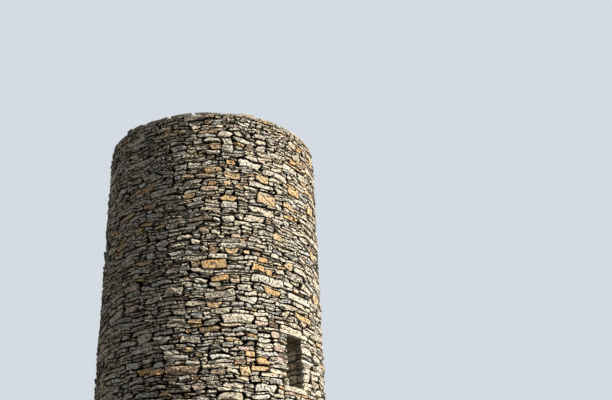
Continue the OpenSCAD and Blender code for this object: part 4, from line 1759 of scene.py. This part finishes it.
def board_floor(name, node, hatch, seed):
    """All the boards of one floor, in place of its plain node."""
    rng = np.random.default_rng(seed)
    low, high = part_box(node)
    z_range, radius = (low[2], high[2]), high[0]
    x0, x1, y0, y1 = hatch
    boards, owns = [], []
    rim = radius - RIM_LEFT
    edges = np.unique(np.concatenate([board_edges(-rim, y0, rng), board_edges(y0, y1, rng),
                                      board_edges(y1, rim, rng)]))

    def circle(y):
        """Half the floor's length at y: the root of the radius squared less y squared."""
        return np.sqrt(np.maximum(radius ** 2 - y ** 2, RIM_LEFT ** 2))

    for first, last in zip(edges[:-1], edges[1:]):
        spans = [(lambda y: -circle(y), circle)]
        if y0 <= (first + last) / 2 <= y1:
            spans = [(lambda y: -circle(y), lambda y: np.full_like(y, x0)),
                     (lambda y: np.full_like(y, x1), circle)]
        for left, right in spans:
            boards.append(one_board(first, last, z_range, left, right, rng))
            owns.append(np.full((len(boards[-1][0]), 3), rng.random()))
    points, faces = joined(boards)
    piece = add_piece(name, points, faces, oak_along_x, {"stone_parts": np.vstack(owns)})
    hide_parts(node)
    print(name, len(boards), "boards")


board_floor("upper_floor_oak_boards", "upper_floor_boards",
            plan_rectangle(*hole("floor_hatch")), 91)
board_floor("terrace_oak_planks", "terrace_planks",
            plan_rectangle(*hole("terrace_hatch")), 92)

# %% [markdown]
# ## Finishes for the plain nodes that stay
# Beams, trimmers and the hatch curb are right as plain solids and only need their timber, each
# with the grain along its length. The two paved discs become the bed under their slabs.

# %% Finishes of the nodes
NODE_FINISHES = {
    "upper_floor_beams": oak_along_y, "terrace_beams": oak_along_y,
    "upper_floor_trimmers": oak_along_x, "terrace_trimmers": oak_along_x,
    "terrace_hatch_curb": oak_along_x, "terrace_paving": bed_finish,
    "ground_floor_flags": bed_finish,
}
for node, finish in NODE_FINISHES.items():
    for slot in frame["nodes"][node].material_slots:
        slot.material = finish
print(len(NODE_FINISHES), "plain nodes keep their shape")

# %% [markdown]
# ## Light and floor
# The photograph has a low sun from the right, so one lamp shines from there. A very broad and
# bluish lamp straight above and a weak world fill the shade as open air does. A third, weak lamp
# stands on the far side, for the views that the photograph doesn't show. The backdrop is a pale
# blue that only the camera sees, so it adds no light. The floor too is pale to the camera alone:
# the light that it sends back to the tower comes from a darker grey.

# %% Lamps


def sun_lamp(name, energy, spread, colour, direction=None):
    """A sun lamp of a spread in degrees that shines from (angle, height), or straight down.

    The direction it stands in is (cos angle cos height, sin angle cos height, sin height).
    """
    data = bpy.data.lights.new(name, "SUN")
    data.energy, data.angle, data.color = energy, math.radians(spread), colour
    lamp = bpy.data.objects.new(name, data)
    bpy.context.scene.collection.objects.link(lamp)
    if direction:
        angle, height = direction
        beam = -Vector((math.cos(angle) * math.cos(height),
                        math.sin(angle) * math.cos(height), math.sin(height)))
        lamp.rotation_euler = beam.to_track_quat("-Z", "Y").to_euler()


sun_lamp("sun", energy=5.5, spread=7, colour=(1.0, 0.94, 0.86),
         direction=(math.radians(23), math.radians(35)))
sun_lamp("overhead", energy=0.55, spread=150, colour=(0.85, 0.92, 1.0))
sun_lamp("behind", energy=0.9, spread=40, colour=(0.97, 0.98, 1.0),
         direction=(CAMERA_AZIMUTH + math.radians(90), math.radians(25)))
print("a sun from the right, one lamp above and a weak one behind")

# %% Backdrop and floor
FLOOR_RADIUS = 70.0
FLOOR_SIDES = 180
FLOOR_ROUGHNESS = 0.9
WORLD_STRENGTH = 0.10
WORLD_COLOUR = (0.85, 0.91, 1.0, 1)
BACKDROP = linear(212, 219, 226)
FLOOR_SENT_BACK, FLOOR_SEEN = linear(92, 90, 86), linear(206, 209, 212)
world = bpy.data.worlds.new("studio")
bpy.context.scene.world = world
world.use_nodes = True
tree = world.node_tree
tree.nodes.clear()
seen = add_node(tree, "LightPath")
shown = calculated(tree, "MAXIMUM", seen.outputs["Is Camera Ray"],
                   seen.outputs["Is Transmission Ray"])
world_light = add_node(tree, "Background", {"Color": WORLD_COLOUR, "Strength": WORLD_STRENGTH})
backdrop = add_node(tree, "Background", {"Color": rgba(BACKDROP), "Strength": 1.0})
either = add_node(tree, "MixShader", {0: shown, 1: world_light.outputs[0],
                                      2: backdrop.outputs[0]})
add_node(tree, "OutputWorld", {"Surface": either.outputs[0]})

floor_finish, tree, shader = new_material("studio_floor", specular=0.2)
floor_light = add_node(tree, "LightPath")
floor_colour = mixed(tree, "MIX", floor_light.outputs["Is Camera Ray"],
                     rgba(FLOOR_SENT_BACK), rgba(FLOOR_SEEN))
tree.links.new(floor_colour, shader.inputs["Base Color"])
shader.inputs["Roughness"].default_value = FLOOR_ROUGHNESS
floor_rim = [(FLOOR_RADIUS * math.cos(angle), FLOOR_RADIUS * math.sin(angle), 0)
             for angle in np.linspace(0, FULL_TURN, FLOOR_SIDES, endpoint=False)]
floor_mesh = bpy.data.meshes.new("studio_floor")
floor_mesh.from_pydata(floor_rim, [], [range(FLOOR_SIDES)])
floor_mesh.materials.append(floor_finish)
studio_floor = bpy.data.objects.new("studio_floor", floor_mesh)
bpy.context.scene.collection.objects.link(studio_floor)
studio_floor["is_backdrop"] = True
bpy.context.scene.view_settings.view_transform = "Standard"
print("backdrop and floor are in place")

# %% [markdown]
# ## The size after dressing
# The outside box before and after dressing is written down, so that the two can be compared.

# %% Finish
low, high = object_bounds()
print("dressed model:", [round(b - a, 3) for a, b in zip(low, high)], "m")
